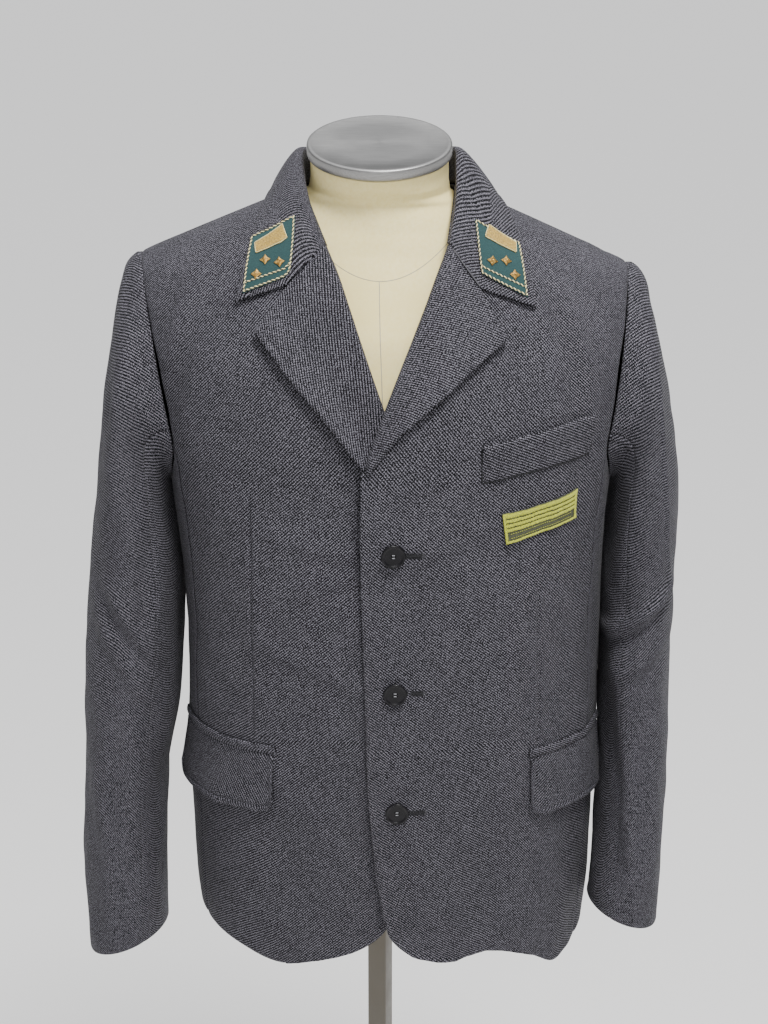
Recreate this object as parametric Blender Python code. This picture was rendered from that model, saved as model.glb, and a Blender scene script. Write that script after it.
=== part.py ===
"""Uniform jacket worn by a limbless dress form on a pole stand.

Metres, +Z up, the jacket's front faces -Y and +X is the wearer's left. The origin lies on the
floor under the pole. Every piece of cloth is a closed thin wall: its outer face is worked out
from the body surface below and its inner face lies one cloth thickness further in.
"""

import math

import bmesh
import bpy
import numpy as np
from mathutils import Matrix, Vector

# Driving sizes of the cloth
CLOTH = 0.0018
SEAM = 0.0003
LAY = 0.0006
LEFT, RIGHT = 1, -1
# Small step for working out slopes
STEP = 1e-4

# Body surface: levels run 0 at the hem, 1 at the armpit and 2 on the shoulder ridge
ARMPIT = 1.190
RIDGE_TOP, RIDGE_SLOPE, RIDGE_ROUND, RIDGE_DROP = 1.4655, 0.434, 0.030, 0.021
RIDGE_Y = 0.005
SHOULDER_HALF = 0.2375
SQUARENESS = 0.07
SECTIONS = (
    # height, half width, front, back, y where it is widest
    (0.680, 0.1945, 0.138, 0.124, 0.020),
    (0.780, 0.1985, 0.145, 0.120, 0.012),
    (0.880, 0.1990, 0.149, 0.110, 0.004),
    (0.970, 0.1970, 0.150, 0.102, -0.003),
    (1.070, 0.1955, 0.1485, 0.100, -0.008),
    (1.130, 0.1990, 0.1440, 0.107, -0.011),
    (1.170, 0.2050, 0.1390, 0.118, -0.012),
    (1.190, 0.2070, 0.1380, 0.120, -0.012),
)
CENTRE_LINE = (
    # level, x
    (0.0, 0.0080),
    (0.5, 0.0075),
    (1.0, 0.0060),
    (2.0, 0.0000),
)
HEM = {
    # degrees from the centre front, height
    RIGHT: (
        (0, 0.714),
        (20, 0.711),
        (32, 0.708),
        (44, 0.716),
        (55, 0.722),
        (90, 0.726),
        (180, 0.718),
    ),
    LEFT: (
        (0, 0.719),
        (16, 0.719),
        (28, 0.723),
        (40, 0.708),
        (49, 0.690),
        (60, 0.697),
        (90, 0.712),
        (180, 0.718),
    ),
}
FOLDS = (
    # side, x and height of both ends, half width, depth
    (RIGHT, -0.150, 1.345, -0.192, 1.235, 0.014, 0.0035),
    (LEFT, 0.165, 1.300, 0.172, 1.255, 0.010, 0.0025),
    (RIGHT, -0.160, 1.110, -0.120, 1.020, 0.018, 0.0030),
    (LEFT, 0.060, 1.140, 0.130, 1.115, 0.016, 0.0030),
    (LEFT, 0.110, 0.850, 0.085, 0.730, 0.026, 0.0050),
    (RIGHT, -0.080, 0.860, -0.055, 0.740, 0.024, 0.0035),
)

# Panel outlines
SIDE_SEAM, BACK_SEAM = math.radians(63), math.radians(117)
SEAM_ANGLE, SEAM_LEVEL = 0.0017, 0.0019
ARMHOLE_LOW, ARMHOLE_SIDE = 0.947, 1.086
ARMHOLE_FRONT, ARMHOLE_BACK = 0.35, 0.65
SEAM_ROWS = np.linspace(0, ARMHOLE_SIDE, 11)
BREAK = {RIGHT: (0.0335, 1.1600), LEFT: (-0.0180, 1.2120)}
BREAK_TURN = (0.006, 0.001)
# Extra rows of the fronts: in the curve of the hem, and on both sides of the gorge
FRONT_HEM_ROWS, GORGE_ROWS = (0.012, 0.030, 0.055), (-0.004, 0.010)
# Where the left front laps over the right one, and over the lower ends of both lapels
LAP_X, LAP_Z = (0.045, 0.100), (1.280, 1.360)
STACK, STACK_X = 0.0070, (0.035, 0.100)
STACK_START, STACK_END = (1.090, 1.150), (1.250, 1.350)
FRONT_EDGE = (
    # height, how far the right and the left edge reach past the centre line
    (0.690, -0.150, -0.150),
    (0.712, -0.085, -0.100),
    (0.719, -0.060, -0.055),
    (0.726, -0.041, -0.024),
    (0.736, -0.024, -0.009),
    (0.748, -0.011, 0.001),
    (0.762, -0.002, 0.006),
    (0.800, 0.010, 0.0125),
    (0.845, 0.0175, 0.0175),
    (0.920, 0.0225, 0.0225),
    (1.000, 0.0240, 0.0240),
    (1.090, 0.0265, 0.0265),
    (1.220, 0.0260, 0.0255),
)
ROLL_LINE = (
    # height, x on the right front, x on the left front
    (1.1600, 0.0335, -0.0330),
    (1.2120, 0.0170, -0.0160),
    (1.2600, 0.0000, 0.0008),
    (1.2850, -0.0088, 0.0105),
    (1.3170, -0.0200, 0.0238),
    (1.3470, -0.0305, 0.0363),
    (1.3700, -0.0390, 0.0455),
    (1.3920, -0.0495, 0.0550),
    (1.4090, -0.0573, 0.0597),
)
NECK_X, NECK_HALF, NAPE = -0.004, 0.068, 0.342
NECK_CURVE = 1.8
GORGE = {RIGHT: (-0.0495, 1.3920), LEFT: (0.0550, 1.3920)}
NOTCH = {RIGHT: (-0.0835, 1.3592), LEFT: (0.0828, 1.3562)}
LAPEL_TIP = {RIGHT: (-0.1101, 1.3208), LEFT: (0.1051, 1.3154)}
COLLAR_TIP = {RIGHT: (-0.1276, 1.3436), LEFT: (0.1299, 1.3390)}

# Lapel: a facing that wraps the roll edge and lies on the front
ROLL_RADIUS, ROLL_BULGE, ROLL_WIDTH = 0.0033, 0.0015, 0.012
ROLL_SETBACK, ROLL_TUCK, LAPEL_GAP = 0.0036, 0.0100, 0.0008
LAPEL_EDGE = {
    # share of the way up, x and height of the outer edge
    RIGHT: (
        (0.00, 0.0250, 1.1530),
        (0.25, -0.0080, 1.1950),
        (0.50, -0.0439, 1.2421),
        (0.78, -0.0809, 1.2851),
        (1.00, -0.1101, 1.3208),
    ),
    LEFT: (
        (0.00, -0.0125, 1.2060),
        (0.25, 0.0140, 1.2400),
        (0.50, 0.0460, 1.2670),
        (0.78, 0.0800, 1.2960),
        (1.00, 0.1051, 1.3154),
    ),
}

# Collar: a stand that rises from the neck seam, a roll and a leaf that falls over the shoulders
# The leaf is a Bezier curve: its pulls are shares of the roll's radius, the leaf and the fall
SHOULDER_AT, LEAF_NAPE = 0.45, 0.392
LEAF_PULLS, LEAF_CLEAR = (1.9, 0.45, 0.3), 0.001
LEAF_FLARE, FLARE_SHARE, FLARE_SECTION = 0.003, (0.7, 1.0), (0.7, 1.0)
END_SHARE, LEAN_SHARE, LEAN_ACROSS = (0.72, 1.0), (0.55, 0.95), 1.5
LEAF_SHOULDER = {RIGHT: -0.105, LEFT: 0.107}
LEAF_CURVE = {RIGHT: 1.4, LEFT: 1.1}
COLLAR_FOOT, COLLAR_TURN, NOTCH_SHARE = 0.0006, (0.0026, 0.0045), 0.506
STAND_END, TURN_END = 0.25, 0.40
STAND = (
    # share of the way from nape to gorge, height of the roll above the neck seam
    (0.00, 0.0380),
    (0.45, 0.0310),
    (0.70, 0.0160),
    (0.90, 0.0062),
    (1.00, 0.0044),
)

# Sleeves: rings of an ellipse in plan, from the armhole seam down to the cuff
SLEEVE = {
    # height, x of the outer and the inner line, y of the front and the back line
    RIGHT: (
        (0.680, -0.2935, -0.2165, -0.104, 0.008),
        (0.740, -0.2950, -0.2155, -0.103, 0.014),
        (0.820, -0.2950, -0.2140, -0.100, 0.028),
        (0.880, -0.2920, -0.2115, -0.098, 0.038),
        (0.930, -0.2900, -0.2000, -0.096, 0.047),
        (0.980, -0.2885, -0.1950, -0.094, 0.056),
        (1.080, -0.2775, -0.1965, -0.092, 0.070),
        (1.170, -0.2675, -0.2065, -0.088, 0.082),
        (1.260, -0.2575, -0.2080, -0.076, 0.082),
        (1.320, -0.2465, -0.2090, -0.062, 0.070),
        (1.370, -0.2360, -0.2100, -0.045, 0.055),
    ),
    LEFT: (
        (0.680, 0.2660, 0.1975, -0.120, -0.010),
        (0.740, 0.2690, 0.2005, -0.118, -0.004),
        (0.820, 0.2725, 0.2070, -0.108, 0.014),
        (0.900, 0.2738, 0.2120, -0.099, 0.034),
        (0.980, 0.2742, 0.2110, -0.094, 0.052),
        (1.080, 0.2760, 0.2110, -0.090, 0.074),
        (1.170, 0.2735, 0.2190, -0.086, 0.086),
        (1.260, 0.2595, 0.2200, -0.074, 0.084),
        (1.320, 0.2470, 0.2185, -0.060, 0.070),
        (1.370, 0.2370, 0.2150, -0.044, 0.055),
    ),
}
SLEEVE_HEAD = (
    # share of the way down, drop, spread from the armhole seam to the ring
    (0.00, 0.000, 0.00),
    (0.03, 0.003, 0.30),
    (0.06, 0.009, 0.55),
    (0.10, 0.022, 0.80),
    (0.16, 0.060, 0.95),
    (0.24, 0.130, 1.00),
    (0.60, 0.540, 1.00),
    (1.00, 1.000, 1.00),
)
CUFF = {
    # mean height, how much the outer side and the front hang lower
    RIGHT: (0.6990, 0.0128, -0.007),
    LEFT: (0.7355, 0.0095, -0.0075),
}
SLEEVE_SEAM, SLEEVE_GAP = 0.34, 0.0006
SLEEVE_OFF = (0.0006, 0.0010)

# Pieces laid on the collar: corners as shares from nape to gorge and along the section,
# lower inner, lower outer, upper inner, upper outer
COLLAR_PATCH = {
    RIGHT: ((0.968, 0.748), (0.975, 0.958), (0.804, 0.633), (0.760, 0.982)),
    LEFT: ((0.946, 0.771), (0.972, 0.962), (0.808, 0.662), (0.768, 0.972)),
}
PATCH_BAR = {
    RIGHT: ((0.867, 0.725), (0.861, 0.922), (0.811, 0.746), (0.816, 0.940)),
    LEFT: ((0.841, 0.756), (0.834, 0.935), (0.792, 0.768), (0.789, 0.945)),
}
PIPS = {
    RIGHT: ((0.924, 0.794), (0.899, 0.867), (0.937, 0.909)),
    LEFT: ((0.904, 0.813), (0.884, 0.879), (0.921, 0.918)),
}
PATCH_CLOTH, BAR_CLOTH = 0.0012, 0.0008
PATCH_TOP = LAY + PATCH_CLOTH
BAR_TOP = PATCH_TOP + 0.0004 + BAR_CLOTH
PIP_HALF, PIP_EDGE, PIP_HIGH = 0.0042, 0.0006, 0.0026

# Pieces laid on the fronts: x and height of the lower and the upper edge, from one end to the other
WELT = ((0.0856, 1.1941), (0.1830, 1.2105), (0.0851, 1.2269), (0.1836, 1.2460))
BADGE = ((0.1070, 1.1375), (0.1700, 1.1525), (0.1030, 1.1650), (0.1710, 1.1795))
FLAP = {
    # degrees of the front and the back end, height of the top, depth at both ends
    RIGHT: (31.5, 74.0, 0.9345, 0.0590, 0.0630),
    LEFT: (37.0, 74.0, 0.9285, 0.0610, 0.0630),
}
FLAP_FOLD = {
    # how far along, half width and depth of a soft fold in the flap
    RIGHT: (0.42, 0.13, 0.0035),
    LEFT: (0.60, 0.16, 0.0010),
}
FLAP_STAND_OFF = {RIGHT: 0.0065, LEFT: 0.0035}
FLAP_CORNER, FLAP_CORNER_DEGREES = 0.012, 4
JET_WIDTH = 0.0075
JET_LONGER = 0.5
PATCH_LIFT = CLOTH + 0.0009
BUTTON_HEIGHTS = (1.1322, 1.0024, 0.8830)
BUTTON_X = (0.0079, 0.0098, 0.0119)
BUTTON = (
    # radius, height above the cloth
    (0.0000, 0.0000),
    (0.0088, 0.0000),
    (0.0104, 0.0010),
    (0.01075, 0.0022),
    (0.0102, 0.0032),
    (0.0092, 0.0034),
    (0.0080, 0.0024),
    (0.0000, 0.0022),
)

# Dress form: rings in plan, each a rounded ellipse
FORM = (
    # height, half width, front, back, power of the outline, forward tilt
    (0.745, 0.1500, 0.105, 0.085, 2.4, 0.0),
    (0.800, 0.1600, 0.112, 0.092, 2.4, 0.0),
    (0.880, 0.1650, 0.115, 0.092, 2.4, 0.0),
    (0.980, 0.1520, 0.105, 0.080, 2.3, 0.0),
    (1.050, 0.1500, 0.104, 0.078, 2.3, 0.0),
    (1.130, 0.1600, 0.113, 0.090, 2.3, 0.0),
    (1.200, 0.1680, 0.118, 0.101, 2.3, 0.0),
    (1.260, 0.1720, 0.114, 0.101, 2.2, 0.0),
    (1.310, 0.1760, 0.101, 0.097, 2.0, 0.0),
    (1.345, 0.1820, 0.083, 0.089, 1.8, 0.0),
    (1.368, 0.1860, 0.072, 0.081, 1.6, 0.0),
    (1.380, 0.1838, 0.0665, 0.076, 1.5, 0.0),
    (1.400, 0.1366, 0.0610, 0.067, 1.4, 0.0),
    (1.420, 0.0870, 0.0590, 0.055, 1.4, 0.0),
    (1.430, 0.0635, 0.0620, 0.052, 1.8, 0.05),
    (1.440, 0.0620, 0.0655, 0.0535, 2.0, 0.12),
    (1.452, 0.0618, 0.0690, 0.0510, 2.0, 0.22),
    (1.4655, 0.0622, 0.0728, 0.0478, 2.0, 0.2754),
)
NECK_TILT = 0.2754
SLANT_START, SLANT_END = (1.10, 1.30), (1.425, 1.45)
CAP_RADIUS, CAP_THICK, CAP_EDGE = 0.0645, 0.011, 0.0015
POLE, POLE_EDGE, POLE_TURN = 0.020, 0.002, math.radians(-23)
BASE = (
    # radius, height
    (0.0000, 0.0000),
    (0.1900, 0.0000),
    (0.1950, 0.0030),
    (0.1950, 0.0090),
    (0.1920, 0.0120),
    (0.0420, 0.0160),
    (0.0300, 0.0200),
    (0.0280, 0.0300),
    (0.0000, 0.0300),
)

# Colours
MARL = (0.062, 0.060, 0.070)
LINEN = (0.62, 0.57, 0.46)
TEAL = (0.020, 0.080, 0.085)
GOLD = (0.50, 0.37, 0.16)
BADGE_YELLOW = (0.45, 0.48, 0.07)
SATIN_STEEL = (0.35, 0.34, 0.33)
POLE_GREY = (0.21, 0.18, 0.14)
BLACK = (0.012, 0.012, 0.014)


def material(name, colour, roughness, metallic=0.0):
    made = bpy.data.materials.new(name)
    made.use_nodes = True
    shader = made.node_tree.nodes["Principled BSDF"]
    shader.inputs["Base Color"].default_value = (*colour, 1.0)
    shader.inputs["Roughness"].default_value = roughness
    shader.inputs["Metallic"].default_value = metallic
    return made


def through(x, rows, column=1):
    """Smooth curve through one column of a table, against its first column."""
    xs = np.array([row[0] for row in rows], float)
    ys = np.array([row[column] for row in rows], float)
    slopes = np.gradient(ys, xs)
    x = np.asarray(x, float)
    i = np.clip(np.searchsorted(xs, x) - 1, 0, len(xs) - 2)
    span = xs[i + 1] - xs[i]
    t = (x - xs[i]) / span
    start = (2 * t**3 - 3 * t**2 + 1) * ys[i] + (t**3 - 2 * t**2 + t) * span * slopes[i]
    end = (3 * t**2 - 2 * t**3) * ys[i + 1] + (t**3 - t**2) * span * slopes[i + 1]
    return start + end


def ease(x, start, end):
    """0 before start, 1 past end, smooth between."""
    t = np.clip((x - start) / (end - start), 0, 1)
    return t * t * (3 - 2 * t)


def sideways(angle):
    return np.sin(angle) * (1 + SQUARENESS * np.sin(2 * angle) ** 2)


def forwards(angle):
    return np.cos(angle) * (1 + SQUARENESS * np.sin(2 * angle) ** 2)


def angle_of(share):
    """Inverse of sideways, from -90 to 90 degrees."""
    angles = np.linspace(-math.pi / 2, math.pi / 2, 721)
    return np.interp(share, sideways(angles), angles)


def ridge(x):
    """Height of the shoulder ridge."""
    return RIDGE_TOP - RIDGE_SLOPE * np.hypot(x, RIDGE_ROUND) - RIDGE_DROP * x


def hem_height(side, angle):
    return through(np.degrees(np.abs(angle)), HEM[side])


def trough(side, x, z):
    """Depth of the soft folds at a point of the front."""
    depth = np.zeros(np.broadcast(x, z).shape)
    for fold_side, x0, z0, x1, z1, half, deep in FOLDS:
        if fold_side != side:
            continue
        along = ((x - x0) * (x1 - x0) + (z - z0) * (z1 - z0)) / ((x1 - x0) ** 2 + (z1 - z0) ** 2)
        away = ((x - x0) * (z1 - z0) - (z - z0) * (x1 - x0)) / math.hypot(x1 - x0, z1 - z0)
        ends = np.exp(-((np.abs(along - 0.5) / 0.6) ** 4))
        depth = depth + deep * np.exp(-((away / half) ** 2)) * ends
    return depth


def body(side, angle, level):
    """Outer face of the jacket's body.

    Below the armpit a level is a rounded section of its own width and depths. Above it the
    section keeps its x and its y shrinks to the ridge along a quarter ellipse.
    """
    angle, level = np.broadcast_arrays(np.asarray(angle, float), np.asarray(level, float))
    rise = np.clip(level - 1, 0, None) * math.pi / 2
    hem = hem_height(side, angle)
    z_low = hem + np.minimum(level, 1) * (ARMPIT - hem)
    x = through(level, CENTRE_LINE) + side * half_width(z_low, rise) * sideways(angle)
    face = forwards(angle)
    widest = through(z_low, SECTIONS, 4)
    front = (through(z_low, SECTIONS, 2) + widest) * np.clip(face, 0, None)
    back = (through(z_low, SECTIONS, 3) - widest) * np.clip(-face, 0, None)
    z = z_low + (ridge(x) - ARMPIT) * np.sin(rise)
    y_low = widest - front + back + trough(side, x, z) * np.clip(face, 0, None)
    y = RIDGE_Y + (y_low - RIDGE_Y) * np.cos(rise)
    return np.stack([x, y, z], -1)


def half_width(z_low, rise):
    """Half width of the body at a height up to the armpit and a rise from there."""
    top = SECTIONS[-1][1]
    return through(z_low, SECTIONS) + (SHOULDER_HALF - top) * np.sin(rise)


def upper(x, v):
    """Point of the shoulders at an x and at v levels before (+) or behind (-) the ridge."""
    rise = (1 - np.abs(v)) * math.pi / 2
    _, half, front, back, widest = SECTIONS[-1]
    half = half + (SHOULDER_HALF - half) * np.sin(rise)
    face = forwards(angle_of((x - through(2 - np.abs(v), CENTRE_LINE)) / half))
    y_low = widest + np.where(v > 0, -(front + widest), back - widest) * face
    y = RIDGE_Y + (y_low - RIDGE_Y) * np.cos(rise)
    return np.stack([x, y, ARMPIT + (ridge(x) - ARMPIT) * np.sin(rise)], -1)


def outwards(place, u, v, step=STEP):
    """Unit normals of a surface place(u, v), from small steps both ways."""
    across = place(u + step, v) - place(u - step, v)
    up = place(u, v + step) - place(u, v - step)
    return unit(np.cross(across, up))


def unit(vectors):
    return vectors / np.linalg.norm(vectors, axis=-1, keepdims=True)


def grid_normals(points):
    """Unit normals of a point grid, from its neighbouring rows and columns."""
    return unit(np.cross(np.gradient(points, axis=1), np.gradient(points, axis=0)))


def skin(side, angle, level, lift=0.0):
    """Point of the body moved out by lift."""
    normal = side * outwards(lambda a, b: body(side, a, b), angle, level)
    return body(side, angle, level) + normal * np.asarray(lift)[..., None]


def find(side, x, z):
    """Angle and level of the front point at an x and a height, by repeated substitution."""
    x, z = np.broadcast_arrays(np.asarray(x, float), np.asarray(z, float))
    angle = np.zeros(x.shape)
    for _ in range(8):
        hem = hem_height(side, angle)
        rise = np.arcsin(np.clip((z - ARMPIT) / (ridge(x) - ARMPIT), 0, 1))
        level = np.where(z < ARMPIT, (z - hem) / (ARMPIT - hem), 1 + rise / (math.pi / 2))
        half = half_width(np.minimum(z, ARMPIT), rise)
        angle = angle_of(side * (x - through(level, CENTRE_LINE)) / half)
    return angle, level


def before_ridge(side, place):
    """Levels before the ridge of a point given by x and height."""
    return 2 - find(side, *place)[1]


def overlap_lift(side, x, z):
    """How far the left front stands off where it laps over the right front and its lapel."""
    if side == RIGHT:
        return np.zeros(np.broadcast(x, z).shape)
    lap = (1 - ease(x, *LAP_X)) * (1 - ease(z, *LAP_Z))
    lapels = ease(z, *STACK_START) * (1 - ease(z, *STACK_END)) * (1 - ease(x, *STACK_X))
    return lap * (CLOTH + LAY) + lapels * STACK


def on_front(side, x, z, lift):
    """Point a height lift above the front panel at an x and a height."""
    angle, level = find(side, x, z)
    return skin(side, angle, level, lift + overlap_lift(side, x, z))


def neck_seam(side, v):
    """X of the seam between front and collar at v levels before the ridge."""
    start = NECK_X + side * NECK_HALF
    share = np.clip(v / before_ridge(side, GORGE[side]), 0, 1)
    return start + (GORGE[side][0] - start) * share**NECK_CURVE


def front_edge(side, level, z):
    """X of the front panel's inner edge: front edge, then roll line, then neck seam."""
    past = through(z, FRONT_EDGE, 2 if side == LEFT else 1)
    below = through(level, CENTRE_LINE) - side * past
    rolled = through(z, ROLL_LINE, 2 if side == LEFT else 1) + side * ROLL_SETBACK
    turn = BREAK[side][1]
    low = below + (rolled - below) * ease(z, turn - BREAK_TURN[0], turn - BREAK_TURN[1])
    return np.where(2 - level < before_ridge(side, GORGE[side]), neck_seam(side, 2 - level), low)


def shell(name, outer, inner, finish):
    """Closed wall between two point grids, with a rim along their edges."""
    rows, columns = outer.shape[:2]
    points = np.concatenate([outer.reshape(-1, 3), inner.reshape(-1, 3)])
    index = np.arange(rows * columns).reshape(rows, columns)
    far = index + rows * columns
    cells = [index[:-1, :-1], index[:-1, 1:], index[1:, 1:], index[1:, :-1]]
    faces = [np.stack(cells, -1).reshape(-1, 4)]
    cells = [far[:-1, :-1], far[1:, :-1], far[1:, 1:], far[:-1, 1:]]
    faces.append(np.stack(cells, -1).reshape(-1, 4))
    near_rim = np.concatenate([index[0], index[1:, -1], index[-1, -2::-1], index[-2::-1, 0]])
    far_rim = near_rim + rows * columns
    faces.append(np.stack([near_rim[:-1], far_rim[:-1], far_rim[1:], near_rim[1:]], -1))
    return mesh_object(name, points, np.concatenate(faces).tolist(), finish)


def mesh_object(name, points, faces, finish):
    mesh = bpy.data.meshes.new(name)
    mesh.from_pydata(points.tolist(), [], faces)
    turned = bmesh.new()
    turned.from_mesh(mesh)
    bmesh.ops.recalc_face_normals(turned, faces=turned.faces)
    turned.to_mesh(mesh)
    turned.free()
    mesh.materials.append(finish)
    mesh.shade_smooth()
    mesh.set_sharp_from_angle(angle=math.radians(40))
    made = bpy.data.objects.new(name, mesh)
    bpy.context.collection.objects.link(made)
    return made


def sheet(name, outer, finish, facing, thickness=CLOTH):
    """Wall behind a point grid, on the side away from the direction facing."""
    normals = grid_normals(outer)
    middle = normals[outer.shape[0] // 2, outer.shape[1] // 2]
    if middle @ facing < 0:
        normals = -normals
    return shell(name, outer, outer - normals * thickness, finish)


def body_panel(name, side, angle, level, finish, lift=0.0):
    """Wall on the body surface, from a grid of angles and levels."""
    angle, level = np.broadcast_arrays(angle, level)
    lift = lift + np.zeros(angle.shape)
    return shell(name, skin(side, angle, level, lift), skin(side, angle, level, lift - CLOTH), finish)


def make_front(side, name, finish):
    """Front panel: hem to shoulder seam, front edge to side seam and armhole."""
    turn = BREAK[side][1] - np.array(BREAK_TURN)
    levels = np.concatenate([
        SEAM_ROWS,
        FRONT_HEM_ROWS,
        np.linspace(1.14, 1.945, 14),
        find(side, BREAK[side][0], turn)[1],
        2 - before_ridge(side, GORGE[side]) + np.array(GORGE_ROWS),
        (2 - SEAM_LEVEL,),
    ])
    levels = np.sort(levels)[:, None]
    start = np.zeros(levels.shape)
    for _ in range(12):
        z = body(side, start, levels)[..., 2]
        rise = np.clip(levels - 1, 0, None) * math.pi / 2
        reach = front_edge(side, levels, z) - through(levels, CENTRE_LINE)
        start = angle_of(side * reach / half_width(np.minimum(z, ARMPIT), rise))
    share = np.linspace(0, 1, 14)[None, :]
    angle = start + share * (SIDE_SEAM - SEAM_ANGLE - start)
    places = body(side, angle, levels)
    lift = overlap_lift(side, places[..., 0], places[..., 2])
    return body_panel(name, side, angle, levels, finish, lift)


def armhole_scoop(angle):
    """Level of the armhole's lower edge: half an ellipse between the side seams."""
    across = np.clip((angle - math.pi / 2) / (BACK_SEAM - math.pi / 2 - SEAM_ANGLE), -1, 1)
    return ARMHOLE_SIDE - (ARMHOLE_SIDE - ARMHOLE_LOW) * np.sqrt(1 - across**2)


def make_side(side, name, finish):
    """Side panel with the scooped bottom of the armhole as its top edge."""
    across = np.sin(np.linspace(-1, 1, 11) * math.pi / 2)[None, :]
    angle = math.pi / 2 + across * (BACK_SEAM - math.pi / 2 - SEAM_ANGLE)
    share = SEAM_ROWS[:, None] / ARMHOLE_SIDE
    return body_panel(name, side, angle, share * armhole_scoop(angle), finish)


def make_back(side, name, finish):
    """Back panel, cut away at the top for the neck."""
    levels = np.concatenate([
        SEAM_ROWS,
        (1.17, 1.26, 1.35, 1.43, 1.50, 1.58, 2 - NAPE, 1.70, 1.76, 1.82, 1.88, 1.94, 2 - SEAM_LEVEL),
    ])[:, None]
    across = np.clip((2 - levels) / NAPE, 0, 1)
    reach = NECK_X + side * NECK_HALF * np.sqrt(1 - across**2) - through(levels, CENTRE_LINE)
    rise = np.clip(levels - 1, 0, None) * math.pi / 2
    cut = math.pi - angle_of(side * reach / half_width(ARMPIT, rise))
    inner = np.where(levels > 2 - NAPE, cut, math.pi) - SEAM_ANGLE
    share = np.linspace(0, 1, 11)[None, :]
    angle = BACK_SEAM + SEAM_ANGLE + share * (inner - BACK_SEAM - SEAM_ANGLE)
    return body_panel(name, side, angle, levels, finish)


def make_sleeve(side, name, parts, finish):
    """Sleeve: rings from the armhole seam to the cuff. It is sewn from the parts named."""
    shares = np.linspace(0, 1, 241)
    seam = armhole(side, shares)
    lengths = np.linalg.norm(np.diff(seam, axis=0), axis=1)
    along = np.concatenate([[0], np.cumsum(lengths)]) / lengths.sum()

    def place(round_share, down):
        turned = np.mod(round_share, 1)
        start = armhole(side, np.interp(turned, along, shares))
        mean, outer_drop, front_drop = CUFF[side]
        around = turned * 2 * math.pi
        away = SLEEVE_OFF[0] + SLEEVE_OFF[1] * (1 - np.cos(around)) / 2
        start = start + away[..., None] * (side, 0, 0)
        cuff = mean - outer_drop * np.cos(around) - front_drop * np.sin(around)
        height = start[..., 2] + (cuff - start[..., 2]) * through(down, SLEEVE_HEAD)
        spread = through(down, SLEEVE_HEAD, 2)[..., None]
        outer, inner, front, back = (through(height, SLEEVE[side], k) for k in (1, 2, 3, 4))
        x = (outer + inner) / 2 + (outer - inner) / 2 * np.cos(around)
        y = (front + back) / 2 + (front - back) / 2 * np.sin(around)
        ring = np.stack([x, y], -1)
        flat = start[..., :2] + (ring - start[..., :2]) * spread
        return np.concatenate([flat, height[..., None]], -1)

    down = np.concatenate([(0, 0.03, 0.06, 0.10, 0.16, 0.24), np.linspace(0.33, 1, 12)])[:, None]
    for part, first, last, columns in parts:
        around = np.linspace(first + SLEEVE_GAP, last - SLEEVE_GAP, columns)[None, :]
        around, rows = np.broadcast_arrays(around, down)
        outer = place(around, rows)
        normals = side * outwards(place, around, np.clip(rows, STEP, 1 - STEP))
        shell(part + "_" + name, outer, outer - normals * CLOTH, finish)


def armhole(side, share):
    """Armhole edge of the body, from the shoulder tip down the front and back up the back."""
    fall = np.clip(share / ARMHOLE_FRONT, 0, 1)
    scoop = np.clip((share - ARMHOLE_FRONT) / (ARMHOLE_BACK - ARMHOLE_FRONT), 0, 1)
    climb = np.clip((share - ARMHOLE_BACK) / (1 - ARMHOLE_BACK), 0, 1)
    angle = SIDE_SEAM + (BACK_SEAM - SIDE_SEAM) * (1 - np.cos(scoop * math.pi)) / 2
    level = 2 - (2 - ARMHOLE_SIDE) * (fall - climb)
    return body(side, angle, np.where((scoop > 0) & (scoop < 1), armhole_scoop(angle), level))


def gorge_line(side, share):
    """X and height on the lapel's top edge: 0 at the roll, a half at the notch, 1 at the tip."""
    knots = (0, 0.5, 1)
    ends = (GORGE[side], NOTCH[side], LAPEL_TIP[side])
    return [np.interp(share, knots, [end[k] for end in ends]) for k in (0, 1)]


def lapel_section(width):
    """Distances from the roll and heights above the front, from the tucked edge to the outer."""
    low = CLOTH * 2 + LAPEL_GAP
    turn = np.radians((-90, -54, -18, 18, 54, 90))
    top = CLOTH + LAPEL_GAP
    middle = (top - low) / 2
    rise = np.where(turn > 0, (top + low) / 2 + ROLL_BULGE, (top + low) / 2)
    tuck = np.linspace(np.minimum(ROLL_TUCK, width), ROLL_RADIUS, 2, endpoint=False, axis=-1)
    wrap = ROLL_RADIUS * (1 - np.cos(turn)) + 0 * width[:, None]
    leg = np.linspace(ROLL_RADIUS, width, 9, axis=-1)[:, 1:]
    bulge = ROLL_BULGE * np.exp(-(((leg - ROLL_RADIUS) / ROLL_WIDTH) ** 2))
    away = np.concatenate([tuck, wrap, leg], 1)
    height = np.concatenate([tuck * 0 - low, middle + rise * np.sin(turn) + 0 * wrap, top + bulge], 1)
    return away, height


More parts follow.
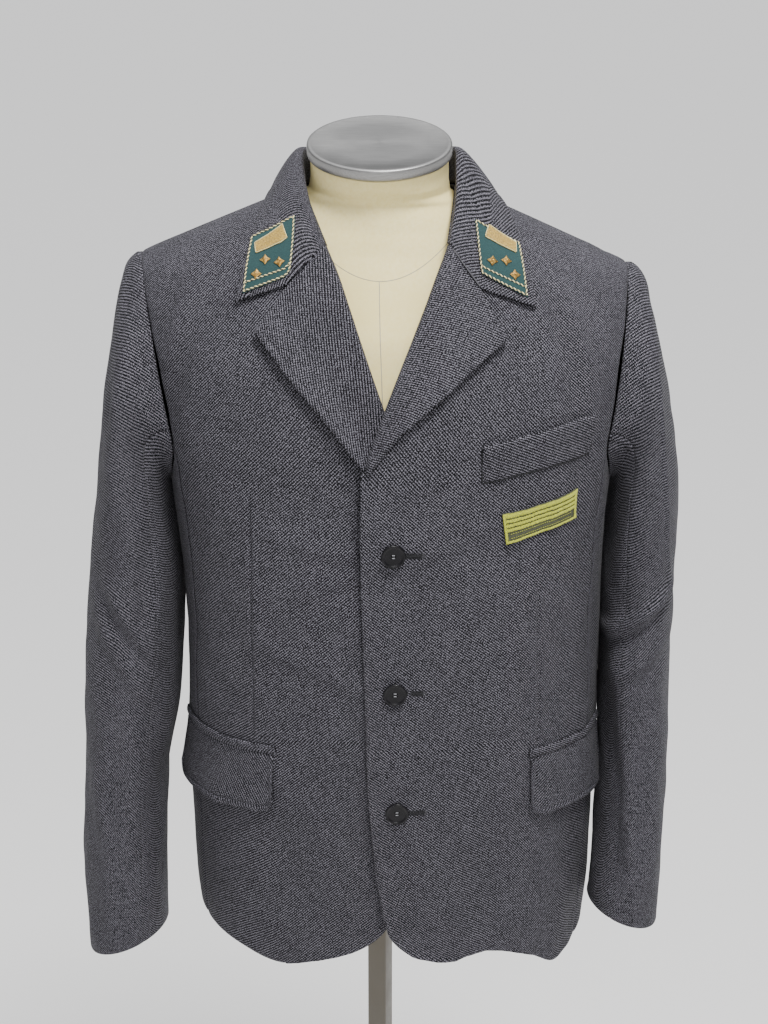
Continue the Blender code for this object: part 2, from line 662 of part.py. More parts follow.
def make_lapel(side, name, finish):
    share = np.concatenate([(0.0, 0.04), np.linspace(0.13, 1, 12)])
    roll_z = BREAK[side][1] + share * (GORGE[side][1] - BREAK[side][1])
    roll_x = through(roll_z, ROLL_LINE, 2 if side == LEFT else 1)
    edge_x = through(share, LAPEL_EDGE[side], 1)
    edge_z = through(share, LAPEL_EDGE[side], 2)
    width = np.hypot(edge_x - roll_x, edge_z - roll_z)
    away, height = lapel_section(width)
    across = away / width[:, None]
    x = roll_x[:, None] + (edge_x - roll_x)[:, None] * across
    z = roll_z[:, None] + (edge_z - roll_z)[:, None] * across
    top_x, top_z = gorge_line(side, across)
    near_top = ease(share, 0.6, 1.0)[:, None]
    straight_x = GORGE[side][0] + (LAPEL_TIP[side][0] - GORGE[side][0]) * across
    straight_z = GORGE[side][1] + (LAPEL_TIP[side][1] - GORGE[side][1]) * across
    x = x + (top_x - straight_x) * near_top
    z = z + (top_z - straight_z) * near_top
    sheet("lapel_" + name, on_front(side, x, z, height), finish, (0, -1, 0))


def collar_end(side, share):
    """X and levels before the ridge along the collar's front end: gorge, notch, tip."""
    gorge, notch, tip = (np.array(end[side]) for end in (GORGE, NOTCH, COLLAR_TIP))
    along = notch - gorge
    shift = np.array([side * abs(along[1]), abs(along[0])]) / np.hypot(*along) * SEAM * 1.7
    knots = (0, NOTCH_SHARE, 1)
    x = np.interp(share, knots, (gorge[0], notch[0], tip[0])) + shift[0]
    z = np.interp(share, knots, (gorge[1], notch[1], tip[1])) + shift[1]
    return x, before_ridge(side, (x, z))


def collar_half(side, share, section, lift=0.0):
    """Half of the collar: share from 0 at the nape to 1 at the gorge, section from 0 at the neck
    seam over the roll to 1 at the leaf's edge."""
    share, section = np.broadcast_arrays(share, section)
    behind = np.clip(share / SHOULDER_AT, 0, 1) * math.pi / 2
    ahead = np.clip((share - SHOULDER_AT) / (1 - SHOULDER_AT), 0, 1)
    tip_x = COLLAR_TIP[side][0]
    seam_v = ahead * before_ridge(side, GORGE[side]) - NAPE * np.cos(behind)
    edge_v = ahead * before_ridge(side, COLLAR_TIP[side]) - LEAF_NAPE * np.cos(behind)
    seam_x = NECK_X + side * NECK_HALF * np.sin(behind)
    seam_x = seam_x + (GORGE[side][0] - seam_x) * ahead**NECK_CURVE
    edge_x = NECK_X + (LEAF_SHOULDER[side] - NECK_X) * np.sin(behind)
    edge_x = edge_x + (tip_x - edge_x) * ahead ** LEAF_CURVE[side]
    length = np.linalg.norm(upper(edge_x, edge_v) - upper(seam_x, seam_v), axis=-1)

    high = through(share, STAND)
    radius = COLLAR_TURN[0] + (COLLAR_TURN[1] - COLLAR_TURN[0]) * ease(high, 0.005, 0.020)
    low = CLOTH + LAY + LEAF_CLEAR * ease(1 - share, 0.02, 0.12)
    turn = np.clip((section - STAND_END) / (TURN_END - STAND_END), 0, 1) * math.pi / 2
    t = np.clip((section - TURN_END) / (1 - TURN_END), 0, 1)
    stand = np.clip(section / STAND_END, 0, 1)
    pull_near, pull_far, pull_low = LEAF_PULLS
    near, far = radius * pull_near, length - pull_far * (length - radius)
    away = bezier(t, radius, near, far, length) - radius * np.cos(turn) * (turn < math.pi / 2)
    fall = bezier(t, high, high, low + pull_low * (high - low), low)
    wall = COLLAR_FOOT + (high - radius - COLLAR_FOOT) * stand + radius * np.sin(turn)
    height = np.where(section > TURN_END, fall, wall)
    height = height + LEAF_FLARE * ease(share, *FLARE_SHARE) * ease(section, *FLARE_SECTION)

    across = away / length
    x = seam_x + (edge_x - seam_x) * across
    v = seam_v + (edge_v - seam_v) * across
    end_x, end_v = collar_end(side, across)
    last_v = before_ridge(side, GORGE[side])
    last_v = last_v + (before_ridge(side, COLLAR_TIP[side]) - last_v) * across
    near_end = ease(share, *END_SHARE)
    x = x + near_end * (end_x - GORGE[side][0] - (tip_x - GORGE[side][0]) * across)
    v = v + near_end * (end_v - last_v)
    normal = outwards(lambda a, b: upper(a, -b), x, -v)
    leaning = np.maximum(ease(share, *LEAN_SHARE), np.clip(LEAN_ACROSS * across, 0, 1))
    leaning = leaning[..., None]
    direction = unit(normal * leaning + np.array((0, 0, 1.0)) * (1 - leaning))
    return upper(x, v) + direction * (height + lift)[..., None]


def bezier(t, a, b, c, d):
    return a * (1 - t) ** 3 + 3 * b * t * (1 - t) ** 2 + 3 * c * t**2 * (1 - t) + d * t**3


def make_collar(finish):
    section = np.concatenate([
        (0, STAND_END / 2),
        np.linspace(STAND_END, TURN_END, 4),
        np.linspace(TURN_END, 1, 9)[1:],
    ])
    share = np.concatenate([np.linspace(0, SHOULDER_AT, 7), np.linspace(0.52, 1, 9)])
    left = collar_half(LEFT, share[None, :], section[:, None])
    right = collar_half(RIGHT, share[None, :0:-1], section[:, None])
    sheet("collar", np.concatenate([right, left], 1), finish, (0, 0, 1))


def make_collar_trim(side, name, teal, gold, brass):
    """Corner patch of the collar with its stitched bar and three pips."""
    across, up = np.meshgrid(np.linspace(0, 1, 6), np.linspace(0, 1, 6))
    above = (0, -0.5, 1)
    patch = collar_half(side, *on_quad(COLLAR_PATCH[side], across, up), PATCH_TOP)
    sheet("collar_patch_" + name, patch, teal, above, PATCH_CLOTH)
    across, up = np.meshgrid(np.linspace(0, 1, 5), np.linspace(0, 1, 3))
    bar = collar_half(side, *on_quad(PATCH_BAR[side], across, up), BAR_TOP)
    sheet("patch_bar_" + name, bar, gold, above, BAR_CLOTH)
    base = [(PIP_HALF, 0), (0, PIP_HALF), (-PIP_HALF, 0), (0, -PIP_HALF)]
    points = [(x, y, z) for z in (0, PIP_EDGE) for x, y in base] + [(0, 0, PIP_HIGH)]
    faces = [(0, 1, 2, 3)]
    for k in range(4):
        after = (k + 1) % 4
        faces += [(k, after, 4 + after, 4 + k), (4 + k, 4 + after, 8)]
    for k, (share, section) in enumerate(PIPS[side]):
        lift = PATCH_TOP + 0.0004
        centre = collar_half(side, share, section, lift)
        along = unit(collar_half(side, share + 0.01, section, lift) - centre)
        out = collar_half(side, share, section + 0.01, lift) - centre
        normal = unit(np.cross(out, along))
        normal = normal * np.sign(normal[2])
        axes = np.stack([np.cross(along, normal), along, normal], -1)
        pip = mesh_object(f"pip_{name}_{k + 1}", np.array(points), faces, brass)
        pip.data.transform(Matrix.Translation(centre) @ Matrix(axes.tolist()).to_4x4())


def lathe(name, profile, finish, segments=24):
    """Solid turned about +Z from radius and height pairs that start and end on the axis."""
    points = [(0, 0, profile[0][1])]
    around = np.linspace(0, 2 * math.pi, segments, endpoint=False)
    for radius, height in profile[1:-1]:
        points += [(radius * math.cos(a), radius * math.sin(a), height) for a in around]
    points.append((0, 0, profile[-1][1]))
    last = len(points) - 1
    faces = []
    for k in range(segments):
        after = (k + 1) % segments
        faces.append((0, 1 + after, 1 + k))
        for row in range(len(profile) - 3):
            base = 1 + row * segments
            faces.append((base + k, base + after, base + segments + after, base + segments + k))
        base = last - segments
        faces.append((base + k, base + after, last))
    return mesh_object(name, np.array(points), faces, finish)


def make_form(finish):
    """Torso and neck in one covered body."""
    around = np.linspace(0, 2 * math.pi, 32, endpoint=False)
    rings = []
    for z, half, front, back, power, tilt in FORM:
        across = np.sign(np.cos(around)) * np.abs(np.cos(around)) ** (2 / power)
        ahead = np.sin(around)
        ahead = np.sign(ahead) * np.abs(ahead) ** (2 / power)
        x = NECK_X + half * across
        y = np.where(ahead < 0, front, back) * ahead
        drop = RIDGE_DROP * x * ease(z, *SLANT_START) * (1 - ease(z, *SLANT_END))
        rings.append(np.stack([x, y, z + y * tilt - drop], -1))
    count = len(around)
    points = np.concatenate(rings + [rings[0].mean(0)[None], rings[-1].mean(0)[None]])
    bottom, top = len(points) - 2, len(points) - 1
    faces = []
    for k in range(count):
        after = (k + 1) % count
        faces.append((bottom, after, k))
        faces.append((top, len(rings) * count - count + k, len(rings) * count - count + after))
        for row in range(len(rings) - 1):
            base = row * count
            faces.append((base + k, base + after, base + count + after, base + count + k))
    return mesh_object("form_torso", points, faces, finish)


def make_stand(steel, grey):
    cap = lathe("form_neck_cap", (
        (0, 0),
        (CAP_RADIUS - CAP_EDGE, 0),
        (CAP_RADIUS, CAP_EDGE),
        (CAP_RADIUS, CAP_THICK - CAP_EDGE),
        (CAP_RADIUS - CAP_EDGE, CAP_THICK),
        (0, CAP_THICK),
    ), steel, 32)
    tilt = Matrix.Rotation(math.atan(NECK_TILT), 4, "X")
    centre = Vector((NECK_X, (FORM[-1][3] - FORM[-1][2]) / 2, FORM[-1][0]))
    centre.z += centre.y * NECK_TILT
    cap.data.transform(Matrix.Translation(centre) @ tilt @ Matrix.Translation((0, 0, SEAM)))

    half, edge = POLE / 2, POLE_EDGE
    corners = [(half - edge, -half), (half, edge - half), (half, half - edge), (half - edge, half)]
    corners += [(-x, -y) for x, y in corners]
    low, high = BASE[-1][1] + SEAM, FORM[0][0] - SEAM
    points = [(x, y, z) for z in (low, high) for x, y in corners]
    faces = [tuple(range(8)), tuple(range(8, 16))]
    faces += [(k, (k + 1) % 8, 8 + (k + 1) % 8, 8 + k) for k in range(8)]
    pole = mesh_object("stand_pole", np.array(points), faces, grey)
    pole.data.transform(Matrix.Translation((NECK_X, 0, 0)) @ Matrix.Rotation(POLE_TURN, 4, "Z"))
    base = lathe("stand_base", BASE, grey, 32)
    base.data.transform(Matrix.Translation((NECK_X, 0, 0)))


def on_quad(corners, across, up):
    """X and height inside a four-sided piece: lower corners first, then the upper ones."""
    (x0, z0), (x1, z1), (x2, z2), (x3, z3) = corners
    x = (x0 + (x1 - x0) * across) * (1 - up) + (x2 + (x3 - x2) * across) * up
    z = (z0 + (z1 - z0) * across) * (1 - up) + (z2 + (z3 - z2) * across) * up
    return x, z


def make_patch(name, corners, columns, finish, lift=PATCH_LIFT):
    """Flat piece laid on the left front."""
    across, up = np.meshgrid(np.linspace(0, 1, columns), np.linspace(0, 1, 4))
    place = on_front(LEFT, *on_quad(corners, across, up), lift)
    sheet(name, place, finish, (0, -1, 0), CLOTH)


def make_pocket(side, name, finish):
    """Jet with the flap that hangs from it, on the front and round onto the side panel."""
    first, last, top, depth_first, depth_last = FLAP[side]

    def place(degrees, z, lift):
        angle = np.radians(degrees)
        hem = hem_height(side, angle)
        return skin(side, angle, (z - hem) / (ARMPIT - hem), lift)

    across, up = np.meshgrid(np.linspace(0, 1, 11), np.linspace(0, 1, 3))
    degrees = first - JET_LONGER + across * (last - first + 2 * JET_LONGER)
    out = (math.sin(math.radians(60)) * side, -0.5, 0)
    jet = place(degrees, top + SEAM + up * JET_WIDTH, LAY + CLOTH)
    sheet("pocket_jet_" + name, jet, finish, out)

    across, down = np.meshgrid(np.linspace(0, 1, 11), np.linspace(0, 1, 5))
    from_end = np.minimum(across, 1 - across) * (last - first)
    rounded = 1 - np.clip(from_end / FLAP_CORNER_DEGREES, 0, 1)
    depth = depth_first + (depth_last - depth_first) * across
    depth = depth - FLAP_CORNER * (1 - np.sqrt(1 - rounded**2))
    fold_at, fold_half, fold_depth = FLAP_FOLD[side]
    fold = fold_depth * np.exp(-(((across - fold_at) / fold_half) ** 2))
    lift = LAY + CLOTH + (FLAP_STAND_OFF[side] * (0.5 + 0.5 * across) + fold) * down**1.5
    flap = place(first + across * (last - first), top - depth * down, lift)
    sheet("pocket_flap_" + name, flap, finish, out)


def make_button(name, x, z, finish):
    """Dished button lying on the left front, square to the cloth."""
    button = lathe(name, BUTTON, finish, 16)
    centre = on_front(LEFT, x, z, SEAM)
    beside = on_front(LEFT, x + 0.005, z, SEAM) - on_front(LEFT, x - 0.005, z, SEAM)
    above = on_front(LEFT, x, z + 0.005, SEAM) - on_front(LEFT, x, z - 0.005, SEAM)
    axes = np.stack([unit(beside), unit(above), unit(np.cross(beside, above))], -1)
    turn = Matrix(axes.tolist()).to_4x4()
    button.data.transform(Matrix.Translation(centre) @ turn)


def build():
    for old in list(bpy.data.objects):
        bpy.data.objects.remove(old, do_unlink=True)
    twill = material("uniform_twill", MARL, 0.85)
    linen = material("form_linen", LINEN, 0.9)
    steel = material("satin_metal", SATIN_STEEL, 0.4, 0.9)
    grey = material("painted_stand", POLE_GREY, 0.45)
    black = material("button_black", BLACK, 0.15)
    woven = material("badge_yellow", BADGE_YELLOW, 0.6)
    teal = material("patch_teal", TEAL, 0.9)
    gold = material("gold_thread", GOLD, 0.5, 0.3)
    brass = material("pip_brass", GOLD, 0.35, 0.9)
    halves = (
        # part, shares of the way round where it starts and ends, columns
        ("sleeve_top", -SLEEVE_SEAM, SLEEVE_SEAM, 13),
        ("sleeve_under", SLEEVE_SEAM, 1 - SLEEVE_SEAM, 9),
    )
    for side, name in ((LEFT, "left"), (RIGHT, "right")):
        make_front(side, "front_" + name, twill)
        make_side(side, "side_" + name, twill)
        make_back(side, "back_" + name, twill)
        make_sleeve(side, name, halves, twill)
        make_lapel(side, name, twill)
        make_pocket(side, name, twill)
        make_collar_trim(side, name, teal, gold, brass)
    make_collar(twill)
    make_patch("chest_welt", WELT, 8, twill)
    make_patch("breast_badge", BADGE, 6, woven)
    for k, (x, z) in enumerate(zip(BUTTON_X, BUTTON_HEIGHTS)):
        make_button(f"button_{k + 1}", x, z, black)
    make_form(linen)
    make_stand(steel, grey)


build()
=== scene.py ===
"""Looks of a uniform jacket on its dress form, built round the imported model.

Metres, +Z up. The jacket's front faces -Y and +X is the wearer's left.
"""

import math

import bpy
import numpy as np
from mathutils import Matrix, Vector


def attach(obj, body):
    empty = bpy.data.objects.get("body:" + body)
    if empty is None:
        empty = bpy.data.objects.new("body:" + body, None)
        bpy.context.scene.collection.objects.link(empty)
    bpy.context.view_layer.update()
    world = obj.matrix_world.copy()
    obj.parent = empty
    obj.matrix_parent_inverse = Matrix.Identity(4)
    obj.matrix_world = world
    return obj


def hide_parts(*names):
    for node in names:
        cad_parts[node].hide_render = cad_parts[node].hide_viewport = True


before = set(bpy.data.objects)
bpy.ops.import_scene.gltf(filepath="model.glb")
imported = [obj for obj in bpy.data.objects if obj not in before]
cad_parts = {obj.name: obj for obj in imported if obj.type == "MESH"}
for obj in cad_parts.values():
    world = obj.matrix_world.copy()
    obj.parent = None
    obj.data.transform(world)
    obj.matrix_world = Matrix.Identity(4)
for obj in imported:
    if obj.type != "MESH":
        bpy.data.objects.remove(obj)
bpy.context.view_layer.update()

# The room: a pale seamless floor, light from all round that is strongest from above, a small
# softbox overhead at the right and a larger one in front. The camera stands a step away, a little
# above the collar, and looks down on the jacket.
LENS, SENSOR = 63.0, 36.0  # millimetres
CAMERA_PLACE, CAMERA_DOWN = (0.0, -1.62, 1.665), math.radians(18.5)
NEAREST, FARTHEST = 0.05, 100.0
FLOOR_HALF, FLOOR_BELOW = 40.0, 0.0006
SOFTBOXES = (
    # name, place, aim, width, length, watts
    ("overhead", (0.45, -1.0, 3.2), (0.0, 0.0, 1.2), 0.5, 0.5, 74.0),
    ("front", (0.5, -3.4, 2.6), (0.0, 0.0, 1.1), 1.5, 1.1, 34.0),
)
GLOW_COLOUR = (0.97, 0.98, 1.0, 1.0)
GLOW_FROM, GLOW_TO = (0.3, 0.95), (0.42, 1.8)  # upward share of a direction, strength there


def add(tree, kind, inputs=(), **options):
    """One shader node: options are its own settings, inputs are values or other nodes' outputs."""
    made = tree.nodes.new(kind)
    for key, value in options.items():
        setattr(made, key, value)
    for key, value in dict(inputs).items():
        if isinstance(value, bpy.types.NodeSocket):
            tree.links.new(value, made.inputs[key])
        else:
            made.inputs[key].default_value = value
    return made


def finish_of(name, colour, roughness, **sockets):
    """New material, with its tree and its shader. Names of sockets have _ for a space."""
    made = bpy.data.materials.new(name)
    made.use_nodes = True
    shader = made.node_tree.nodes["Principled BSDF"]
    shader.inputs["Base Color"].default_value = (*colour, 1.0)
    shader.inputs["Roughness"].default_value = roughness
    for key, value in sockets.items():
        shader.inputs[key.replace("_", " ")].default_value = value
    return made, made.node_tree, shader


camera = bpy.data.objects.new("camera", bpy.data.cameras.new("camera"))
camera.data.lens, camera.data.sensor_width = LENS, SENSOR
camera.data.clip_start, camera.data.clip_end = NEAREST, FARTHEST
camera.location = CAMERA_PLACE
camera.rotation_euler = (math.pi / 2 - CAMERA_DOWN, 0.0, 0.0)
bpy.context.collection.objects.link(camera)
bpy.context.scene.camera = camera

floor_mesh = bpy.data.meshes.new("floor")
floor_corners = [(x * FLOOR_HALF, y * FLOOR_HALF, -FLOOR_BELOW)
                 for x, y in ((-1, -1), (1, -1), (1, 1), (-1, 1))]
floor_mesh.from_pydata(floor_corners, [], [(0, 1, 2, 3)])
floor_mesh.materials.append(finish_of("pale_floor", (0.88, 0.87, 0.855), 0.9)[0])
floor = bpy.data.objects.new("floor", floor_mesh)
bpy.context.collection.objects.link(floor)

for name, place, aim, width, length, watts in SOFTBOXES:
    light = bpy.data.lights.new(name, "AREA")
    light.shape, light.size, light.size_y, light.energy = "RECTANGLE", width, length, watts
    lamp = bpy.data.objects.new(name, light)
    lamp.location = place
    lamp.rotation_euler = (Vector(aim) - Vector(place)).to_track_quat("-Z", "Y").to_euler()
    bpy.context.collection.objects.link(lamp)
room = bpy.data.worlds.new("room")
room.use_nodes = True
tree = room.node_tree
sky = add(tree, "ShaderNodeTexCoord").outputs["Generated"]
glow = add(tree, "ShaderNodeMapRange", {
    "Value": add(tree, "ShaderNodeSeparateXYZ", {"Vector": sky}).outputs["Z"],
    "From Min": GLOW_FROM[0],
    "From Max": GLOW_FROM[1],
    "To Min": GLOW_TO[0],
    "To Max": GLOW_TO[1],
}, interpolation_type="SMOOTHSTEP")
tree.nodes["Background"].inputs["Color"].default_value = GLOW_COLOUR
tree.links.new(glow.outputs["Result"], tree.nodes["Background"].inputs["Strength"])
bpy.context.scene.world = room


# The stand: a steel base plate, turned and painted, with a square steel tube pushed into its boss.
# Both are sprayed with the same warm grey enamel.
POLE_X = -0.004
POLE, POLE_EDGE, POLE_TURN, POLE_ENDS = 0.020, 0.002, math.radians(-23), (0.0303, 0.7447)
POLE_RINGS, BASE_SEGMENTS = 12, 160
BASE = (
    # radius, height
    (0.1860, 0.0000),
    (0.1930, 0.0004),
    (0.1950, 0.0030),
    (0.1950, 0.0090),
    (0.1940, 0.0113),
    (0.1915, 0.0122),
    (0.1200, 0.0140),
    (0.0420, 0.0160),
    (0.0335, 0.0175),
    (0.0300, 0.0205),
    (0.0290, 0.0285),
    (0.0275, 0.0300),
    (0.0150, 0.0300),
)


def unit(vectors):
    """Vectors divided by their lengths."""
    return vectors / np.linalg.norm(vectors, axis=-1, keepdims=True)


def between(rows, columns, wrap=False):
    """Quads between neighbouring points of a grid. wrap joins the last column to the first."""
    index = np.arange(rows * columns).reshape(rows, columns)
    if wrap:
        index = np.concatenate([index, index[:, :1]], 1)
    cells = (index[:-1, :-1], index[:-1, 1:], index[1:, 1:], index[1:, :-1])
    return np.stack(cells, -1).reshape(-1, 4)


def capped(rings):
    """Closed body from rings of points: quads from ring to ring and a fan over each end."""
    count, around = rings.shape[:2]
    points = np.concatenate([rings.reshape(-1, 3), rings[:1].mean(1), rings[-1:].mean(1)])
    here = np.arange(around)
    after = (here + 1) % around
    last = (count - 1) * around
    low = np.stack([here * 0 + count * around, after, here], -1)
    high = np.stack([here * 0 + count * around + 1, last + here, last + after], -1)
    return points, between(count, around, wrap=True).tolist() + low.tolist() + high.tolist()


def piece(name, points, faces, finish, slot, nodes=(), places=None, flat=False):
    """One piece of the object. A closed mesh whose volume comes out negative is turned round."""
    mesh = bpy.data.meshes.new(name)
    mesh.from_pydata(points.tolist(), [], faces)
    mesh.calc_loop_triangles()
    corners = np.zeros(len(mesh.loop_triangles) * 3, np.int32)
    mesh.loop_triangles.foreach_get("vertices", corners)
    a, b, c = (points[corners[k::3]] for k in range(3))
    if (a * np.cross(b, c)).sum() < 0:
        mesh.flip_normals()
    if places is not None:
        layer = mesh.uv_layers.new(name="weave")
        used = np.zeros(len(mesh.loops), np.int32)
        mesh.loops.foreach_get("vertex_index", used)
        layer.data.foreach_set("uv", places[used].astype(np.float32).ravel())
    mesh.materials.append(finish)
    if flat:
        mesh.shade_flat()
    else:
        mesh.shade_smooth()
    made = bpy.data.objects.new(name, mesh)
    bpy.context.collection.objects.link(made)
    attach(made, "root")
    if nodes:
        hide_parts(*nodes)
    return made


def turned(profile, segments, centre=(0, 0, 0)):
    """Rings of a profile of radius and height pairs, turned about +Z at a centre."""
    radius, height = np.array(profile).T
    around = np.linspace(0, 2 * math.pi, segments, endpoint=False)[None, :]
    x = radius[:, None] * np.cos(around)
    y = radius[:, None] * np.sin(around)
    return np.stack([x, y, height[:, None] + 0 * x], -1) + centre


def rotated(points, angle):
    """Points in plan, turned about +Z."""
    cos, sin = math.cos(angle), math.sin(angle)
    return points @ np.array([[cos, sin], [-sin, cos]])


def group_of(name, inputs, outputs):
    """New node group with these sockets, and what its input node gives."""
    group = bpy.data.node_groups.new(name, "ShaderNodeTree")
    for way, sockets in (("INPUT", inputs), ("OUTPUT", outputs)):
        for key, kind in sockets:
            group.interface.new_socket(name=key, in_out=way, socket_type="NodeSocket" + kind)
    return group, add(group, "NodeGroupInput").outputs


def grain_group():
    """Shared fine grain: a soft mask from noise, for colour, roughness and bump."""
    wanted = (("Place", "Vector"), ("Scale", "Float"), ("Low", "Float"), ("High", "Float"))
    group, inside = group_of("fine_grain", wanted, [("Mask", "Float")])
    noise = add(group, "ShaderNodeTexNoise", {
        "Vector": inside["Place"],
        "Scale": inside["Scale"],
        "Detail": 3.0,
        "Roughness": 0.6,
    })
    spread = add(group, "ShaderNodeMapRange", {
        "Value": noise.outputs["Fac"],
        "From Min": 0.3,
        "From Max": 0.7,
        "To Min": inside["Low"],
        "To Max": inside["High"],
    })
    add(group, "NodeGroupOutput", {"Mask": spread.outputs["Result"]})
    return group


fine_grain = grain_group()


def grain(tree, place, scale, low=0.0, high=1.0):
    """Fine grain between low and high, at that many lumps per metre or so."""
    values = {"Place": place, "Scale": scale, "Low": low, "High": high}
    return add(tree, "ShaderNodeGroup", values, node_tree=fine_grain).outputs["Mask"]


def mixed(tree, share, low, high):
    """Colour between two colours by a share."""
    made = add(tree, "ShaderNodeMix", data_type="RGBA")
    tree.links.new(share, made.inputs["Factor"])
    for key, value in (("A", low), ("B", high)):
        socket = next(s for s in made.inputs if s.name == key and s.type == "RGBA")
        if isinstance(value, bpy.types.NodeSocket):
            tree.links.new(value, socket)
        else:
            socket.default_value = (*value, 1.0)
    return next(s for s in made.outputs if s.type == "RGBA")


def surfaced(tree, shader, colour, height, depth, roughness=None):
    """Join a colour, a bump of that depth and perhaps a roughness to a shader."""
    tree.links.new(colour, shader.inputs["Base Color"])
    made = add(tree, "ShaderNodeBump", {"Height": height, "Distance": depth, "Strength": 1.0})
    tree.links.new(made.outputs["Normal"], shader.inputs["Normal"])
    if roughness is not None:
        tree.links.new(roughness, shader.inputs["Roughness"])


def grained(name, base, roughness, low, high, scale, fine, depth, rough=None, **sockets):
    """Finish between the colours low and high by grain of that scale, with bump from a fine grain.
    rough is the scale and the range of the grain in its roughness."""
    made, tree, shader = finish_of(name, base, roughness, **sockets)
    place = add(tree, "ShaderNodeTexCoord").outputs["Object"]
    colour = mixed(tree, grain(tree, place, scale), low, high)
    worn = rough and grain(tree, place, *rough)
    surfaced(tree, shader, colour, grain(tree, place, fine), depth, worn)
    return made


enamel = grained("warm_grey_enamel", (0.12, 0.10, 0.074), roughness=0.42,
                 low=(0.074, 0.063, 0.045), high=(0.090, 0.076, 0.055), scale=9.0, fine=420.0,
                 depth=0.00006, rough=(60.0, 0.36, 0.50), Coat_Weight=0.1)
base_rings = turned(BASE, BASE_SEGMENTS, (POLE_X, 0, 0))
piece("base_plate", *capped(base_rings), enamel, "painted_stand", ["stand_base"])
arc = np.linspace(0, math.pi / 2, 5)
corner = POLE / 2 - POLE_EDGE + POLE_EDGE * np.stack([np.cos(arc), np.sin(arc)], -1)
outline = np.concatenate([rotated(corner, turn) for turn in np.arange(4) * math.pi / 2])
outline = rotated(outline, POLE_TURN) + (POLE_X, 0)
rings = np.stack([np.column_stack([outline, np.full(len(outline), height)])
                  for height in np.linspace(*POLE_ENDS, POLE_RINGS)])
piece("pole", *capped(rings), enamel, "painted_stand", ["stand_pole"])


# The dress form: a hard torso covered in cream linen, cut in panels with a seam down the middle
# and one round the base of the neck. The neck leans a little forwards.
FORM = (
    # height, half width, front, back, power of the outline, forward tilt
    (0.745, 0.1500, 0.105, 0.085, 2.4, 0.0),
    (0.800, 0.1600, 0.112, 0.092, 2.4, 0.0),
    (0.880, 0.1650, 0.115, 0.092, 2.4, 0.0),
    (0.980, 0.1520, 0.105, 0.080, 2.3, 0.0),
    (1.050, 0.1500, 0.104, 0.078, 2.3, 0.0),
    (1.130, 0.1600, 0.113, 0.090, 2.3, 0.0),
    (1.200, 0.1680, 0.118, 0.101, 2.3, 0.0),
    (1.260, 0.1720, 0.114, 0.101, 2.2, 0.0),
    (1.310, 0.1760, 0.101, 0.097, 2.0, 0.0),
    (1.345, 0.1820, 0.083, 0.089, 1.8, 0.0),
    (1.368, 0.1860, 0.072, 0.081, 1.6, 0.0),
    (1.380, 0.1838, 0.0665, 0.076, 1.5, 0.0),
    (1.400, 0.1366, 0.0610, 0.067, 1.4, 0.0),
    (1.420, 0.0870, 0.0590, 0.055, 1.4, 0.0),
    (1.430, 0.0635, 0.0620, 0.052, 1.8, 0.05),
    (1.440, 0.0620, 0.0655, 0.0535, 2.0, 0.12),
    (1.452, 0.0618, 0.0690, 0.0510, 2.0, 0.22),
    (1.4655, 0.0622, 0.0728, 0.0478, 2.0, 0.2754),
)
NECK_TILT, RIDGE_DROP = 0.2754, 0.021
SLANT_START, SLANT_END = (1.10, 1.30), (1.425, 1.45)
FORM_SEGMENTS, FORM_RINGS, FORM_SMOOTHED = 192, 10 * len(FORM), 3
NECK_SEAM_ENDS, NECK_SEAM_LOW, NECK_SEAM_BEND = (-0.062, 0.056), 1.360, 8.6
CENTRE_SEAM_ENDS, CENTRE_SEAM_SHIFT = (1.130, 1.3595), 0.004
SEAM_RADIUS, SEAM_HEIGHT, SEAM_POINTS = 0.00042, 0.6, 60
THREADS_PER_METRE = 620.0


def through(x, rows, column=1):
    """Smooth curve through one column of a table against its first: a cubic between the rows,
    whose slope at each row is that of its neighbours."""
    xs = np.array([row[0] for row in rows], float)
    ys = np.array([row[column] for row in rows], float)
    slopes = np.gradient(ys, xs)
    x = np.asarray(x, float)
    i = np.clip(np.searchsorted(xs, x) - 1, 0, len(xs) - 2)
    span = xs[i + 1] - xs[i]
    t = (x - xs[i]) / span
    start = (2 * t**3 - 3 * t**2 + 1) * ys[i] + (t**3 - 2 * t**2 + t) * span * slopes[i]
    end = (3 * t**2 - 2 * t**3) * ys[i + 1] + (t**3 - t**2) * span * slopes[i + 1]
    return start + end


def ease(x, start, end):
    """0 before start, 1 past end, smooth between."""
    t = np.clip((x - start) / (end - start), 0, 1)
    return t * t * (3 - 2 * t)


def form_sizes(z):
    """Half width, front, back, power and tilt of the torso at a height."""
    return [np.interp(z, [row[0] for row in FORM], [row[k] for row in FORM]) for k in range(1, 6)]


def shoulder_slope(x, z):
    """How much lower the wearer's left shoulder lies, by x and by height."""
    return RIDGE_DROP * x * ease(z, *SLANT_START) * (1 - ease(z, *SLANT_END))


def form_ring(z, around):
    """Ring of the torso: an ellipse whose sine and cosine are raised to a power, tilted at the
    neck and sloping from shoulder to shoulder."""
    half, front, back, power, tilt = form_sizes(z)
    across = np.sign(np.cos(around)) * np.abs(np.cos(around)) ** (2 / power)
    ahead = np.sign(np.sin(around)) * np.abs(np.sin(around)) ** (2 / power)
    x = POLE_X + half * across
    y = np.where(ahead < 0, front, back) * ahead
    return np.stack([x, y, z + y * tilt - shoulder_slope(x, z)], -1)


